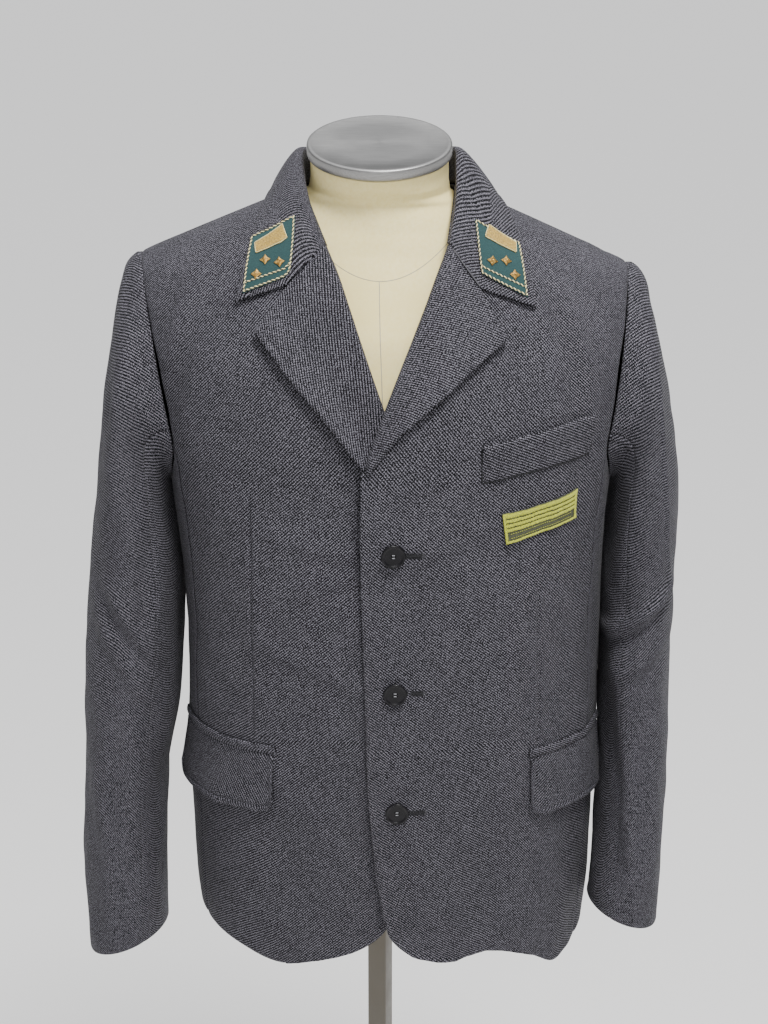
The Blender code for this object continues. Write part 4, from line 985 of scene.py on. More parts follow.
# The sleeves: two-piece sleeves of the same twill, set in round the armhole with a little ease and
# shaped forwards at the elbow. The top piece has the folds of a bent arm, and the cuffs are plain.
SLEEVE = {
    # height, x of the outer and the inner line, y of the front and the back line
    RIGHT: (
        (0.680, -0.2935, -0.2165, -0.104, 0.008),
        (0.740, -0.2950, -0.2155, -0.103, 0.014),
        (0.820, -0.2950, -0.2140, -0.100, 0.028),
        (0.880, -0.2920, -0.2115, -0.098, 0.038),
        (0.930, -0.2900, -0.2000, -0.096, 0.047),
        (0.980, -0.2885, -0.1950, -0.094, 0.056),
        (1.080, -0.2775, -0.1905, -0.092, 0.070),
        (1.170, -0.2675, -0.1985, -0.088, 0.082),
        (1.260, -0.2575, -0.2080, -0.076, 0.082),
        (1.320, -0.2465, -0.2090, -0.062, 0.070),
        (1.370, -0.2360, -0.2100, -0.045, 0.055),
    ),
    LEFT: (
        (0.680, 0.2660, 0.1975, -0.120, -0.010),
        (0.740, 0.2690, 0.2005, -0.118, -0.004),
        (0.820, 0.2725, 0.2060, -0.108, 0.014),
        (0.900, 0.2738, 0.2085, -0.099, 0.034),
        (0.980, 0.2742, 0.2080, -0.094, 0.052),
        (1.080, 0.2760, 0.2070, -0.090, 0.074),
        (1.170, 0.2735, 0.2110, -0.086, 0.086),
        (1.260, 0.2595, 0.2200, -0.074, 0.084),
        (1.320, 0.2470, 0.2185, -0.060, 0.070),
        (1.370, 0.2370, 0.2150, -0.044, 0.055),
    ),
}
SLEEVE_HEAD = (
    # share of the way down, drop, spread from the armhole seam to the ring
    (0.00, 0.000, 0.00),
    (0.03, 0.003, 0.30),
    (0.06, 0.009, 0.55),
    (0.10, 0.022, 0.80),
    (0.16, 0.060, 0.95),
    (0.24, 0.130, 1.00),
    (0.60, 0.540, 1.00),
    (1.00, 1.000, 1.00),
)
CUFF = {RIGHT: (0.6990, 0.0128, -0.007), LEFT: (0.7355, 0.0095, -0.0075)}
SLEEVE_SEAM, SLEEVE_GAP, SLEEVE_OFF = 0.34, 0.0005, (0.0004, 0.0008)
SLEEVE_DRAPE, SLEEVE_DIP = 0.0008, 0.4
EASE_WAVES, EASE_HEIGHT, EASE_AT, EASE_HALF = 46, 0.0006, 0.02, 0.018
SLEEVE_FOLDS = (
    # side, x and height of both ends, half width, rise
    (RIGHT, -0.212, 1.345, -0.240, 1.250, 0.0090, 0.0027),
    (RIGHT, -0.226, 1.275, -0.250, 1.180, 0.0100, 0.0024),
    (RIGHT, -0.240, 1.264, -0.244, 1.221, 0.0030, 0.0011),
    (RIGHT, -0.205, 1.120, -0.214, 1.030, 0.0070, 0.0030),
    (RIGHT, -0.252, 1.075, -0.208, 1.000, 0.0075, 0.0038),
    (RIGHT, -0.262, 1.045, -0.222, 0.965, 0.0090, 0.0027),
    (RIGHT, -0.235, 0.960, -0.240, 0.790, 0.0120, 0.0024),
    (RIGHT, -0.270, 0.900, -0.262, 0.720, 0.0110, 0.0019),
    (LEFT, 0.206, 1.020, 0.262, 1.073, 0.0060, 0.0057),
    (LEFT, 0.216, 0.985, 0.262, 1.025, 0.0080, 0.0030),
    (LEFT, 0.232, 1.190, 0.214, 1.068, 0.0070, 0.0030),
    (LEFT, 0.216, 1.040, 0.228, 0.900, 0.0080, 0.0041),
    (LEFT, 0.230, 0.920, 0.238, 0.760, 0.0090, 0.0035),
    (LEFT, 0.256, 0.980, 0.258, 0.780, 0.0090, 0.0019),
    (LEFT, 0.226, 1.330, 0.246, 1.230, 0.0080, 0.0022),
    (LEFT, 0.244, 1.285, 0.263, 1.080, 0.0022, 0.0014),
)
BACK_FOLDS = (
    # side, x and height of both ends, half width, rise
    (RIGHT, -0.205, 1.060, -0.262, 1.110, 0.0090, 0.0024),
    (RIGHT, -0.206, 1.010, -0.258, 0.985, 0.0090, 0.0018),
    (RIGHT, -0.235, 0.950, -0.245, 0.780, 0.0120, 0.0014),
    (LEFT, 0.214, 1.090, 0.268, 1.130, 0.0090, 0.0024),
    (LEFT, 0.216, 1.020, 0.262, 1.000, 0.0090, 0.0018),
    (LEFT, 0.240, 0.960, 0.236, 0.790, 0.0120, 0.0014),
)


def armhole(side, share):
    """Armhole edge of the body, from the shoulder tip down the front and back up the back."""
    fall = np.clip(share / ARMHOLE_FRONT, 0, 1)
    scoop = np.clip((share - ARMHOLE_FRONT) / (ARMHOLE_BACK - ARMHOLE_FRONT), 0, 1)
    climb = np.clip((share - ARMHOLE_BACK) / (1 - ARMHOLE_BACK), 0, 1)
    angle = SIDE_SEAM + (BACK_SEAM - SIDE_SEAM) * (1 - np.cos(scoop * math.pi)) / 2
    level = 2 - (2 - ARMHOLE_SIDE) * (fall - climb)
    return body(side, angle, np.where((scoop > 0) & (scoop < 1), armhole_scoop(angle), level))


def sleeve_place(side):
    """The sleeve as a function of the share of the way round and down: rings of an ellipse in
    plan, which spread from the armhole edge over the sleeve head and end at a slanted cuff."""
    shares = np.linspace(0, 1, 241)
    seam = armhole(side, shares)
    runs = np.linalg.norm(np.diff(seam, axis=0), axis=1)
    along = np.concatenate([[0], np.cumsum(runs)]) / runs.sum()

    def place(round_share, down):
        """Point from the armhole's edge, drawn towards the ring at its height by the spread."""
        turned_share = np.mod(round_share, 1)
        start = armhole(side, np.interp(turned_share, along, shares))
        mean, outer_drop, front_drop = CUFF[side]
        around = turned_share * 2 * math.pi
        away = SLEEVE_OFF[0] + SLEEVE_OFF[1] * (1 - np.cos(around)) / 2
        start = start + away[..., None] * (side, 0, 0)
        cuff = mean - outer_drop * np.cos(around) - front_drop * np.sin(around)
        height = start[..., 2] + (cuff - start[..., 2]) * through(down, SLEEVE_HEAD)
        spread = through(down, SLEEVE_HEAD, 2)[..., None]
        outer, inner, front, back = (through(height, SLEEVE[side], k) for k in (1, 2, 3, 4))
        x = (outer + inner) / 2 + (outer - inner) / 2 * np.cos(around)
        y = (front + back) / 2 + (front - back) / 2 * np.sin(around)
        ring = np.stack([x, y], -1)
        flat = start[..., :2] + (ring - start[..., :2]) * spread
        return np.concatenate([flat, height[..., None]], -1)

    return place


def sleeve_part(side, name, nodes, first, last, columns, facing):
    """One piece of the sleeve, from its forearm seam to its hind seam, with its folds and, below
    the armhole seam, the small ripples of the ease: a sine round the sleeve head."""
    place = sleeve_place(side)
    down = np.concatenate([
        np.linspace(0, 0.1, 16), np.linspace(0.105, 0.985, 150), np.linspace(0.988, 1, 6),
    ])
    around = dense(first + SLEEVE_GAP, last - SLEEVE_GAP, columns, 0.012, 7)
    around, down = np.meshgrid(around, down)
    plain = place(around, down)
    normal = side * outwards(place, around, np.clip(down, STEP, 1 - STEP))
    x, _, z = np.moveaxis(plain, -1, 0)
    turn = around * 2 * math.pi
    lift = wrinkled(x, z, SLEEVE_FOLDS, side) * ease(np.sin(turn), -0.25, 0.35)
    lift = lift + wrinkled(x, z, BACK_FOLDS, side) * ease(-np.sin(turn), -0.05, 0.35)
    lift = lift + drape(0.5 * x + around * 0.3, z, SLEEVE_DRAPE)
    lift = lift * ease(down, 0.02, 0.10) * (1 - ease(down, 0.97, 1.0))
    ripples = EASE_HEIGHT * np.sin(turn * EASE_WAVES) * ease(np.cos(turn), 0.2, 0.8)
    lift = lift + ripples * np.exp(-(((down - EASE_AT) / EASE_HALF) ** 2))
    forearm, hind, head, cuff = to_sides(plain)
    lift = lift + SLEEVE_DIP * (seam_dip(forearm) + seam_dip(hind))
    lift = lift + seam_dip(head) + edge_dip(cuff)
    cloth(name, plain + normal * lift[..., None], facing, nodes)


for side, name in SIDES:
    sleeve_part(side, "sleeve_upper_" + name, ["sleeve_top_" + name], -SLEEVE_SEAM, SLEEVE_SEAM,
                76, (side, 0, 0))
    sleeve_part(side, "sleeve_lower_" + name, ["sleeve_under_" + name], SLEEVE_SEAM,
                1 - SLEEVE_SEAM, 30, (-side, 0, 0))


# The lapels: facings of the same twill that turn over the roll line and lie on the fronts, with
# the notch cut at the gorge and one row of topstitching a foot's width in from the edge.
LAPEL_TIP = {RIGHT: (-0.1101, 1.3208), LEFT: (0.1051, 1.3154)}
NOTCH = {RIGHT: (-0.0835, 1.3592), LEFT: (0.0828, 1.3562)}
ROLL_RADIUS, ROLL_BULGE, ROLL_WIDTH, ROLL_TUCK = 0.0033, 0.0015, 0.012, 0.0100
LAPEL_GAP, LAPEL_OFF, OFF_ACROSS, OFF_UP = 0.0008, 0.0060, (0.60, 1.0), (0.10, 0.35)
LAPEL_TURNS = {RIGHT: 0.35, LEFT: -1.08}
LAPEL_EDGE = {
    # share of the way up, x and height of the outer edge
    RIGHT: (
        (0.00, 0.0250, 1.1530),
        (0.25, -0.0080, 1.1950),
        (0.50, -0.0439, 1.2421),
        (0.78, -0.0809, 1.2851),
        (1.00, -0.1101, 1.3208),
    ),
    LEFT: (
        (0.00, -0.0125, 1.2060),
        (0.25, 0.0140, 1.2400),
        (0.50, 0.0460, 1.2670),
        (0.78, 0.0800, 1.2960),
        (1.00, 0.1051, 1.3154),
    ),
}


def lapel_ray(side, share):
    """The lapel's ray at a share of the way up: its start on the roll line, its end on the outer
    edge, and its length."""
    roll_z = BREAK[side][1] + share * (GORGE[side][1] - BREAK[side][1])
    start = roll_x(side, roll_z)
    edge_x, edge_z = (through(share, LAPEL_EDGE[side], k) for k in (1, 2))
    return start, roll_z, edge_x, edge_z, np.hypot(edge_x - start, edge_z - roll_z)


def lapel_place(side, share, away, height):
    """Points of the lapel at a share of the way up, a distance from the roll line along the
    lapel's own rays, and a height above the front. The top ray follows the gorge and the notch."""
    start_x, start_z, edge_x, edge_z, width = lapel_ray(side, share)
    across = away / width
    x = start_x + (edge_x - start_x) * across
    z = start_z + (edge_z - start_z) * across
    (gx, gz), (nx, nz), (tx, tz) = GORGE[side], NOTCH[side], LAPEL_TIP[side]
    top_x = np.interp(across, (0, 0.5, 1), (gx, nx, tx))
    top_z = np.interp(across, (0, 0.5, 1), (gz, nz, tz))
    near_top = ease(share, 0.6, 1.0)
    x = x + (top_x - gx - (tx - gx) * across) * near_top
    z = z + (top_z - gz - (tz - gz) * across) * near_top
    return on_front(side, x, z, height)


def lapel(side, name):
    """Sections from the tucked edge round the roll to the outer edge, at shares of the way up."""
    share = np.concatenate([
        np.linspace(0, 0.12, 12), np.linspace(0.13, 0.96, 70), np.linspace(0.965, 1, 9),
    ])[:, None]
    width = lapel_ray(side, share)[-1]
    low, top = CLOTH * 2 + LAPEL_GAP, CLOTH + LAPEL_GAP
    around = np.linspace(-math.pi / 2, math.pi / 2, 19)[None, :]
    rise = (top + low) / 2 + ROLL_BULGE * (around > 0)
    tuck = np.minimum(ROLL_TUCK, width)
    tuck = tuck + (ROLL_RADIUS - tuck) * np.linspace(0, 1, 6, endpoint=False)[None, :]
    wrap = ROLL_RADIUS * (1 - np.cos(around)) + 0 * width
    leg = ROLL_RADIUS + (width - ROLL_RADIUS) * dense(0, 1, 40, 0.03, 12)[None, 1:]
    bulge = ROLL_BULGE * np.exp(-(((leg - ROLL_RADIUS) / ROLL_WIDTH) ** 2))
    away = np.concatenate([tuck, wrap, leg], 1)
    height = np.concatenate([
        tuck * 0 - low, (top - low) / 2 + rise * np.sin(around) + 0 * wrap, top + bulge,
    ], 1)
    from_top = np.linalg.norm(np.array(GORGE[side]) - BREAK[side]) * (1 - share)
    on_top = np.concatenate([tuck[:1] * 0, around > 0.5, leg[:1] * 0 + 1], 1)
    edges = edge_dip(width - away, 1.0) + edge_dip(from_top, 1.0) * (away > 0.3 * width)
    off = LAPEL_OFF * ease(away / width, *OFF_ACROSS) * ease(share, *OFF_UP)
    height = height + edges * on_top + off * (away > ROLL_RADIUS * 1.05)
    outer = lapel_place(side, np.broadcast_to(share, away.shape), away, height)
    cloth("lapel_turned_" + name, outer, (0, -1, 0), ["lapel_" + name],
          turn=LAPEL_TURNS[side])


for side, name in SIDES:
    lapel(side, name)


# The collar: a stand sewn round the neck, a roll, and a leaf that falls over the shoulders to two
# points. Twill outside and under, topstitched along the leaf's edge and ends.
COLLAR_TIP = {RIGHT: (-0.1276, 1.3436), LEFT: (0.1299, 1.3390)}
SHOULDER_AT, LEAF_NAPE = 0.45, 0.392
LEAF_PULLS, LEAF_CLEAR = (1.9, 0.45, 0.3), 0.001
LEAF_FLARE, FLARE_SHARE, FLARE_SECTION = 0.003, (0.7, 1.0), (0.7, 1.0)
END_SHARE, LEAN_SHARE, LEAN_ACROSS = (0.72, 1.0), (0.55, 0.95), 1.5
LEAF_SHOULDER, LEAF_CURVE = {RIGHT: -0.105, LEFT: 0.107}, {RIGHT: 1.4, LEFT: 1.1}
COLLAR_FOOT, COLLAR_TURN, NOTCH_SHARE = 0.0006, (0.0026, 0.0045), 0.506
STAND_END, TURN_END = 0.25, 0.40
STAND = ((0.00, 0.0380), (0.45, 0.0310), (0.70, 0.0160), (0.90, 0.0062), (1.00, 0.0044))
LEAF_LONG, COLLAR_LONG = 0.085, 0.150


def upper(x, v):
    """Point of the shoulders at an x and at v levels before (+) or behind (-) the ridge."""
    rise = (1 - np.abs(v)) * math.pi / 2
    _, half, front, back, widest = SECTIONS[-1]
    half = half + (SHOULDER_HALF - half) * np.sin(rise)
    face = forwards(angle_of((x - through(2 - np.abs(v), CENTRE_LINE)) / half))
    y_low = widest + np.where(v > 0, -(front + widest), back - widest) * face
    y = RIDGE_Y + (y_low - RIDGE_Y) * np.cos(rise)
    return np.stack([x, y, ARMPIT + (ridge(x) - ARMPIT) * np.sin(rise)], -1)


def bezier(t, a, b, c, d):
    """Cubic Bezier curve through four numbers, the inner two weighed three times."""
    return a * (1 - t) ** 3 + 3 * b * t * (1 - t) ** 2 + 3 * c * t**2 * (1 - t) + d * t**3


def collar_end(side, share):
    """X and levels before the ridge along the collar's front end: gorge, notch, tip."""
    gorge, notch, tip = (np.array(end[side]) for end in (GORGE, NOTCH, COLLAR_TIP))
    along = notch - gorge
    shift = np.array([side * abs(along[1]), abs(along[0])]) / np.hypot(*along) * SEAM * 1.7
    knots = (0, NOTCH_SHARE, 1)
    x = np.interp(share, knots, (gorge[0], notch[0], tip[0])) + shift[0]
    z = np.interp(share, knots, (gorge[1], notch[1], tip[1])) + shift[1]
    return x, before_ridge(side, (x, z))


def collar_half(side, share, section, lift=0.0):
    """Half of the collar: share from 0 at the nape to 1 at the gorge, section from 0 at the neck
    seam over the roll to 1 at the leaf's edge. The leaf is a Bezier curve over the shoulder."""
    share, section = np.broadcast_arrays(share, section)
    behind = np.clip(share / SHOULDER_AT, 0, 1) * math.pi / 2
    ahead = np.clip((share - SHOULDER_AT) / (1 - SHOULDER_AT), 0, 1)
    tip_x = COLLAR_TIP[side][0]
    seam_v = ahead * before_ridge(side, GORGE[side]) - NAPE * np.cos(behind)
    edge_v = ahead * before_ridge(side, COLLAR_TIP[side]) - LEAF_NAPE * np.cos(behind)
    seam_x = POLE_X + side * NECK_HALF * np.sin(behind)
    seam_x = seam_x + (GORGE[side][0] - seam_x) * ahead**NECK_CURVE
    edge_x = POLE_X + (LEAF_SHOULDER[side] - POLE_X) * np.sin(behind)
    edge_x = edge_x + (tip_x - edge_x) * ahead ** LEAF_CURVE[side]
    length = np.linalg.norm(upper(edge_x, edge_v) - upper(seam_x, seam_v), axis=-1)

    high = through(share, STAND)
    radius = COLLAR_TURN[0] + (COLLAR_TURN[1] - COLLAR_TURN[0]) * ease(high, 0.005, 0.020)
    low = CLOTH + LAY + LEAF_CLEAR * ease(1 - share, 0.02, 0.12)
    turn = np.clip((section - STAND_END) / (TURN_END - STAND_END), 0, 1) * math.pi / 2
    t = np.clip((section - TURN_END) / (1 - TURN_END), 0, 1)
    stand = np.clip(section / STAND_END, 0, 1)
    pull_near, pull_far, pull_low = LEAF_PULLS
    near, far = radius * pull_near, length - pull_far * (length - radius)
    away = bezier(t, radius, near, far, length) - radius * np.cos(turn) * (turn < math.pi / 2)
    fall = bezier(t, high, high, low + pull_low * (high - low), low)
    wall = COLLAR_FOOT + (high - radius - COLLAR_FOOT) * stand + radius * np.sin(turn)
    height = np.where(section > TURN_END, fall, wall)
    height = height + LEAF_FLARE * ease(share, *FLARE_SHARE) * ease(section, *FLARE_SECTION)

    across = away / length
    x = seam_x + (edge_x - seam_x) * across
    v = seam_v + (edge_v - seam_v) * across
    end_x, end_v = collar_end(side, across)
    last_v = before_ridge(side, GORGE[side])
    last_v = last_v + (before_ridge(side, COLLAR_TIP[side]) - last_v) * across
    near_end = ease(share, *END_SHARE)
    x = x + near_end * (end_x - GORGE[side][0] - (tip_x - GORGE[side][0]) * across)
    v = v + near_end * (end_v - last_v)
    normal = outwards(lambda a, b: upper(a, -b), x, -v)
    leaning = np.maximum(ease(share, *LEAN_SHARE), np.clip(LEAN_ACROSS * across, 0, 1))
    leaning = leaning[..., None]
    direction = unit(normal * leaning + np.array((0, 0, 1.0)) * (1 - leaning))
    return upper(x, v) + direction * (height + lift)[..., None]


def collar_dip(share, section):
    """Furrow and rounding along the leaf's edge and its front ends, whose distances come from
    the lengths of a whole section and of half the collar."""
    edge = (1 - section) * LEAF_LONG
    end = (1 - share) * COLLAR_LONG
    leaf = ease(section, TURN_END + 0.10, TURN_END + 0.16)
    return (edge_dip(edge, 1.0) + edge_dip(end, 1.0) * ease(section, 0.68, 0.76)) * leaf


section = np.concatenate([
    np.linspace(0, STAND_END, 12)[:-1],
    np.linspace(STAND_END, TURN_END, 17),
    dense(TURN_END, 1, 34, 0.02, 9)[1:],
])[:, None]
share = np.concatenate([np.linspace(0, 0.9, 92), np.linspace(0.905, 1, 18)])
halves = []
for side in (RIGHT, LEFT):
    columns = share[None, :0:-1] if side == RIGHT else share[None, :]
    halves.append(collar_half(side, columns, section, collar_dip(columns, section)))
cloth("collar_turned", np.concatenate(halves, 1), (0, 0, 1), ["collar"])


# Topstitching: a row of polyester thread a foot's width in from the edges of the left front, the
# lapels and the collar. Each stitch is a small spindle that sinks into the cloth at both ends. A
# tube of the same charcoal colour lies along the gorge seam, where the left lapel meets the
# collar: painted shade for the groove of that seam.
STITCH, STITCH_LONG, STITCH_THICK, STITCH_SINK = 0.0030, 0.0023, 0.00022, 0.00028
EDGE_STITCHES = (0.775, BREAK[LEFT][1] - 0.012)
COLLAR_STITCHES, LAPEL_STITCHES = (0.0, 0.945), (0.06, 0.94)
GORGE_SEAM, GORGE_RISE, GORGE_RADIUS, GORGE_FLAT = (0.06, 0.48), 0.0016, 0.0006, 0.6


def at_shares(points, shares, known=None):
    """Points or directions between the rows of a list, evenly spread unless their own shares are
    known."""
    known = np.linspace(0, 1, len(points)) if known is None else known
    return np.stack([np.interp(shares, known, points[:, k]) for k in range(3)], -1)


def even(path, count):
    """Evenly spaced points along a path, and its length."""
    steps = np.concatenate([[0], np.cumsum(np.linalg.norm(np.diff(path, axis=0), axis=1))])
    return at_shares(path, np.linspace(0, steps[-1], count), steps), steps[-1]


def spindle(sides=5):
    """Closed small spindle along +X, one unit long and one unit in radius."""
    at, radius = np.array(((-0.5, -0.36, 0.0, 0.36, 0.5), (0.25, 0.8, 1.0, 0.8, 0.25)))[..., None]
    turn = np.linspace(0, 2 * math.pi, sides, endpoint=False)
    return capped(np.stack([at + 0 * turn, radius * np.cos(turn), radius * np.sin(turn)], -1))


def sprinkle(shape, faces, centres, axes):
    """Copies of one small shape: each point times the copy's three axes, plus its centre."""
    points = np.einsum("kij,nj->kni", axes, shape) + centres[:, None]
    starts = np.arange(len(centres))[:, None, None] * len(shape)
    joined = []
    for size in sorted({len(face) for face in faces}):
        group = np.array([face for face in faces if len(face) == size])
        joined += (group[None] + starts).reshape(-1, size).tolist()
    return points.reshape(-1, 3), joined


def strands(name, starts, ends, facing, thick, finish, slot="uniform_twill", high=0.8):
    """Short threads from points to points, thick across and a little flatter off the cloth."""
    along = ends - starts
    ahead = unit(along)
    facing = unit(facing - (facing * ahead).sum(-1, keepdims=True) * ahead)
    axes = np.stack([along, np.cross(facing, ahead) * thick, facing * thick * high], -1)
    return piece(name, *sprinkle(*spindle(), (starts + ends) / 2, axes), finish, slot)


def sew(name, place, out, finish, slot="uniform_twill", pitch=STITCH, long=STITCH_LONG,
        thick=STITCH_THICK):
    """Row of stitches along the path place(share), facing the way out(share)."""
    along = np.linspace(0, 1, 400)
    path, total = even(place(along), len(along))
    middles = (np.arange(int(total / pitch)) + 0.5) * pitch / total
    starts, ends = (at_shares(path, middles + way * long / 2 / total) for way in (-1, 1))
    return strands(name, starts, ends, out(middles), thick, finish, slot)


def threaded(name, low, high, roughness=0.6, sheen=0.25):
    """Thread: a colour between low and high, broken up along its length by fine grain."""
    return grained(name, low, roughness, low, high, scale=900.0, fine=3200.0, depth=0.00006,
                   Sheen_Weight=sheen)


def front_facing(side, x, z):
    """Direction outwards from the front at an x and a height."""
    return side * outwards(lambda a, b: body(side, a, b), *find(side, x, z))


def left_edge(share):
    """X and height of the stitch line along the left front's edge, from the hem to the lapel."""
    z = np.interp(share, (0, 1), EDGE_STITCHES)
    level = find(LEFT, 0.0 * z, z)[1]
    return front_edge(LEFT, level, z) + STITCH_IN, z


def leaf_edge(share):
    """Share and section of the stitch line along the collar's leaf."""
    return np.interp(share, (0, 1), COLLAR_STITCHES), 1 - STITCH_IN / LEAF_LONG + 0 * share


def leaf_facing(side, share, section):
    """Direction upwards from the collar's leaf: across a step along it and a step down it."""
    over = collar_half(side, share + 0.01, section) - collar_half(side, share - 0.01, section)
    down = collar_half(side, share, section) - collar_half(side, share, section - 0.02)
    out = np.cross(over, down)
    return out * np.sign(out[:, 2:])


def lapel_edge(side, share):
    """Share of the way up and distance from the roll line of the lapel's stitch line."""
    share = np.interp(share, (0, 1), LAPEL_STITCHES)
    width = lapel_ray(side, share)[-1]
    return share, np.maximum(width - STITCH_IN, 0.3 * width)


# Charcoal thread for the topstitches and the buttonholes' ends; the same colour is also painted
# shade along the gorge seam.
charcoal_thread_and_shade = threaded("charcoal_thread_and_shade", (0.014, 0.013, 0.017), (0.060, 0.058, 0.066),
                           sheen=0.02)
# The gorge seam is a charcoal tube raised on the lapel: painted shade for the groove where the
# lapel meets the collar.
across = np.linspace(*GORGE_SEAM, 40) * math.dist(LAPEL_TIP[LEFT], GORGE[LEFT])
path = lapel_place(LEFT, 1 + 0 * across, across, CLOTH + LAPEL_GAP + GORGE_RISE)
gorge_seam_shade = tube(path, front_facing(LEFT, path[:, 0], path[:, 2]), GORGE_RADIUS, GORGE_FLAT)
piece("gorge_seam_shade_left", *capped(gorge_seam_shade), charcoal_thread_and_shade, "uniform_twill")
sew("front_edge_stitches", lambda t: on_front(LEFT, *left_edge(t), -STITCH_SINK),
    lambda t: front_facing(LEFT, *left_edge(t)), charcoal_thread_and_shade)
for side, name in SIDES:
    sew("collar_edge_stitches_" + name,
        lambda t: collar_half(side, *leaf_edge(t), -STITCH_SINK),
        lambda t: leaf_facing(side, *leaf_edge(t)), charcoal_thread_and_shade)
    sew("lapel_edge_stitches_" + name,
        lambda t: lapel_place(side, *lapel_edge(side, t), CLOTH + LAPEL_GAP - STITCH_SINK),
        lambda t: front_facing(side, *lapel_place(side, *lapel_edge(side, t), 0).T[[0, 2]]),
        charcoal_thread_and_shade)


# The collar's corner patches: teal wool felt bound with a twisted cord of gold and black thread,
# which also crosses above the lower edge, with a satin-stitched bar and three pressed brass pips.
COLLAR_PATCH = {
    # share and section of the lower inner, lower outer, upper inner and upper outer corners
    RIGHT: ((0.974, 0.742), (0.984, 0.964), (0.812, 0.633), (0.772, 0.984)),
    LEFT: ((0.952, 0.768), (0.980, 0.966), (0.812, 0.662), (0.776, 0.974)),
}
PATCH_BAR = {
    RIGHT: ((0.867, 0.725), (0.861, 0.922), (0.811, 0.746), (0.816, 0.940)),
    LEFT: ((0.841, 0.756), (0.834, 0.935), (0.792, 0.768), (0.789, 0.945)),
}
PIPS = {
    RIGHT: ((0.924, 0.794), (0.899, 0.867), (0.937, 0.909)),
    LEFT: ((0.904, 0.813), (0.884, 0.879), (0.921, 0.918)),
}
PATCH_CLOTH, BAR_CLOTH, BAR_LOWER = 0.0012, 0.0008, 0.0003
PATCH_TOP = LAY + PATCH_CLOTH
BAR_TOP = PATCH_TOP + 0.0004 + BAR_CLOTH
BAR_ROWS = ((0.0, 0.36), (0.30, 0.70), (0.64, 1.0))
SATIN_COUNT, SATIN_UNEVEN, SATIN_JOG, SATIN_THICK = 46, 0.006, 0.05, 0.00034
RIM_TURN, RIM_REACH, RIM_STRAND = 0.0012, 0.00016, 0.00026
CORD_TURN, CORD_REACH, CORD_STRAND, CORD_LINE = 0.0040, 0.00038, 0.00048, 0.15
BLACK_REACH, CORD_IN, CORD_LOW, CORD_UP = CORD_REACH * 1.1, 0.02, 0.015, 0.0003
PIP_TIP, PIP_WAIST, PIP_UP = 0.0050, 0.0029, 0.0004
PIP_LEVELS = ((1.0, 0.0), (1.0, 0.0005), (0.93, 0.00075), (0.5, 0.001612), (0.12, 0.002522))


def on_quad(corners, across, up):
    """Place inside a four-sided piece: lower corners first, then the upper ones."""
    (a0, b0), (a1, b1), (a2, b2), (a3, b3) = corners
    a = (a0 + (a1 - a0) * across) * (1 - up) + (a2 + (a3 - a2) * across) * up
    b = (b0 + (b1 - b0) * across) * (1 - up) + (b2 + (b3 - b2) * across) * up
    return a, b


def collar_facing(side, share, section):
    """Unit direction outwards from the collar's leaf, from small steps both ways."""
    over = collar_half(side, share + 0.004, section) - collar_half(side, share - 0.004, section)
    down = collar_half(side, share, section + 0.004) - collar_half(side, share, section - 0.004)
    out = unit(np.cross(over, down))
    return out * np.sign(out[..., 2:])


def strand(path, out, pitch, reach, thick, phase, sides=6):
    """Rings of one strand of a cord: a helix of that reach round the path, one turn per pitch."""
    count = int(even(path, 3)[1] / pitch * 9)
    middle, total = even(path, count)
    along = unit(np.gradient(middle, axis=0))
    out = at_shares(out, np.linspace(0, 1, count))
    out = unit(out - (out * along).sum(-1, keepdims=True) * along)
    turn = (np.linspace(0, total / pitch, count) * 2 * math.pi + phase)[:, None]
    line = middle + reach * (np.cos(turn) * out + np.sin(turn) * np.cross(along, out))
    return tube(line, out, thick, sides=sides)


def rounded(distance, depth=0.0004, near=0.0012):
    """Height of a piece that rounds off near its sides."""
    return -depth * (1 - ease(distance, 0, near))


def from_sides(outer):
    """Distance of each point of a grid from the nearest of its four sides."""
    return np.min(to_sides(outer), axis=0)


def on_patch(side, corners, across, up, height):
    """Points at a height over the collar, inside four corners, and the way that they face."""
    spot = on_quad(corners[side], across, up)
    return collar_half(side, *spot, height), collar_facing(side, *spot)


def pressed(side, corners, columns, rows, height):
    """Grid of a small flat piece on the collar, rounded off along its sides."""
    across, up = np.meshgrid(np.linspace(0, 1, columns), np.linspace(0, 1, rows))
    flat, out = on_patch(side, corners, across, up, height)
    return flat + out * rounded(from_sides(flat))[..., None]


felt, tree, shader = finish_of("teal_felt", (0.012, 0.060, 0.066), 0.95, Sheen_Weight=0.15,
                               Sheen_Roughness=0.6, Sheen_Tint=(0.45, 0.85, 0.85, 1.0))
place = add(tree, "ShaderNodeTexCoord").outputs["Object"]
fibres = grain(tree, place, 1500.0)
felted = mixed(tree, fibres, (0.001, 0.014, 0.015), (0.014, 0.056, 0.056))
mottled = mixed(tree, grain(tree, place, 130.0, 0.0, 0.35), felted, (0.005, 0.030, 0.034))
surfaced(tree, shader, mottled, fibres, 0.00018)
gold_thread = threaded("gold_thread", (0.17, 0.100, 0.006), (0.58, 0.38, 0.055), roughness=0.55)
pale_gold_thread = threaded("pale_gold_thread", (0.62, 0.54, 0.22), (0.90, 0.82, 0.46),
                            roughness=0.5)
black_thread = threaded("black_thread", (0.012, 0.012, 0.010), (0.040, 0.038, 0.030),
                        roughness=0.7)
brass = grained("pressed_brass", (0.55, 0.36, 0.15), roughness=0.30, low=(0.20, 0.09, 0.02),
                high=(0.90, 0.58, 0.18), scale=520.0, fine=520.0, depth=0.00007,
                rough=(800.0, 0.25, 0.5), Metallic=1.0)

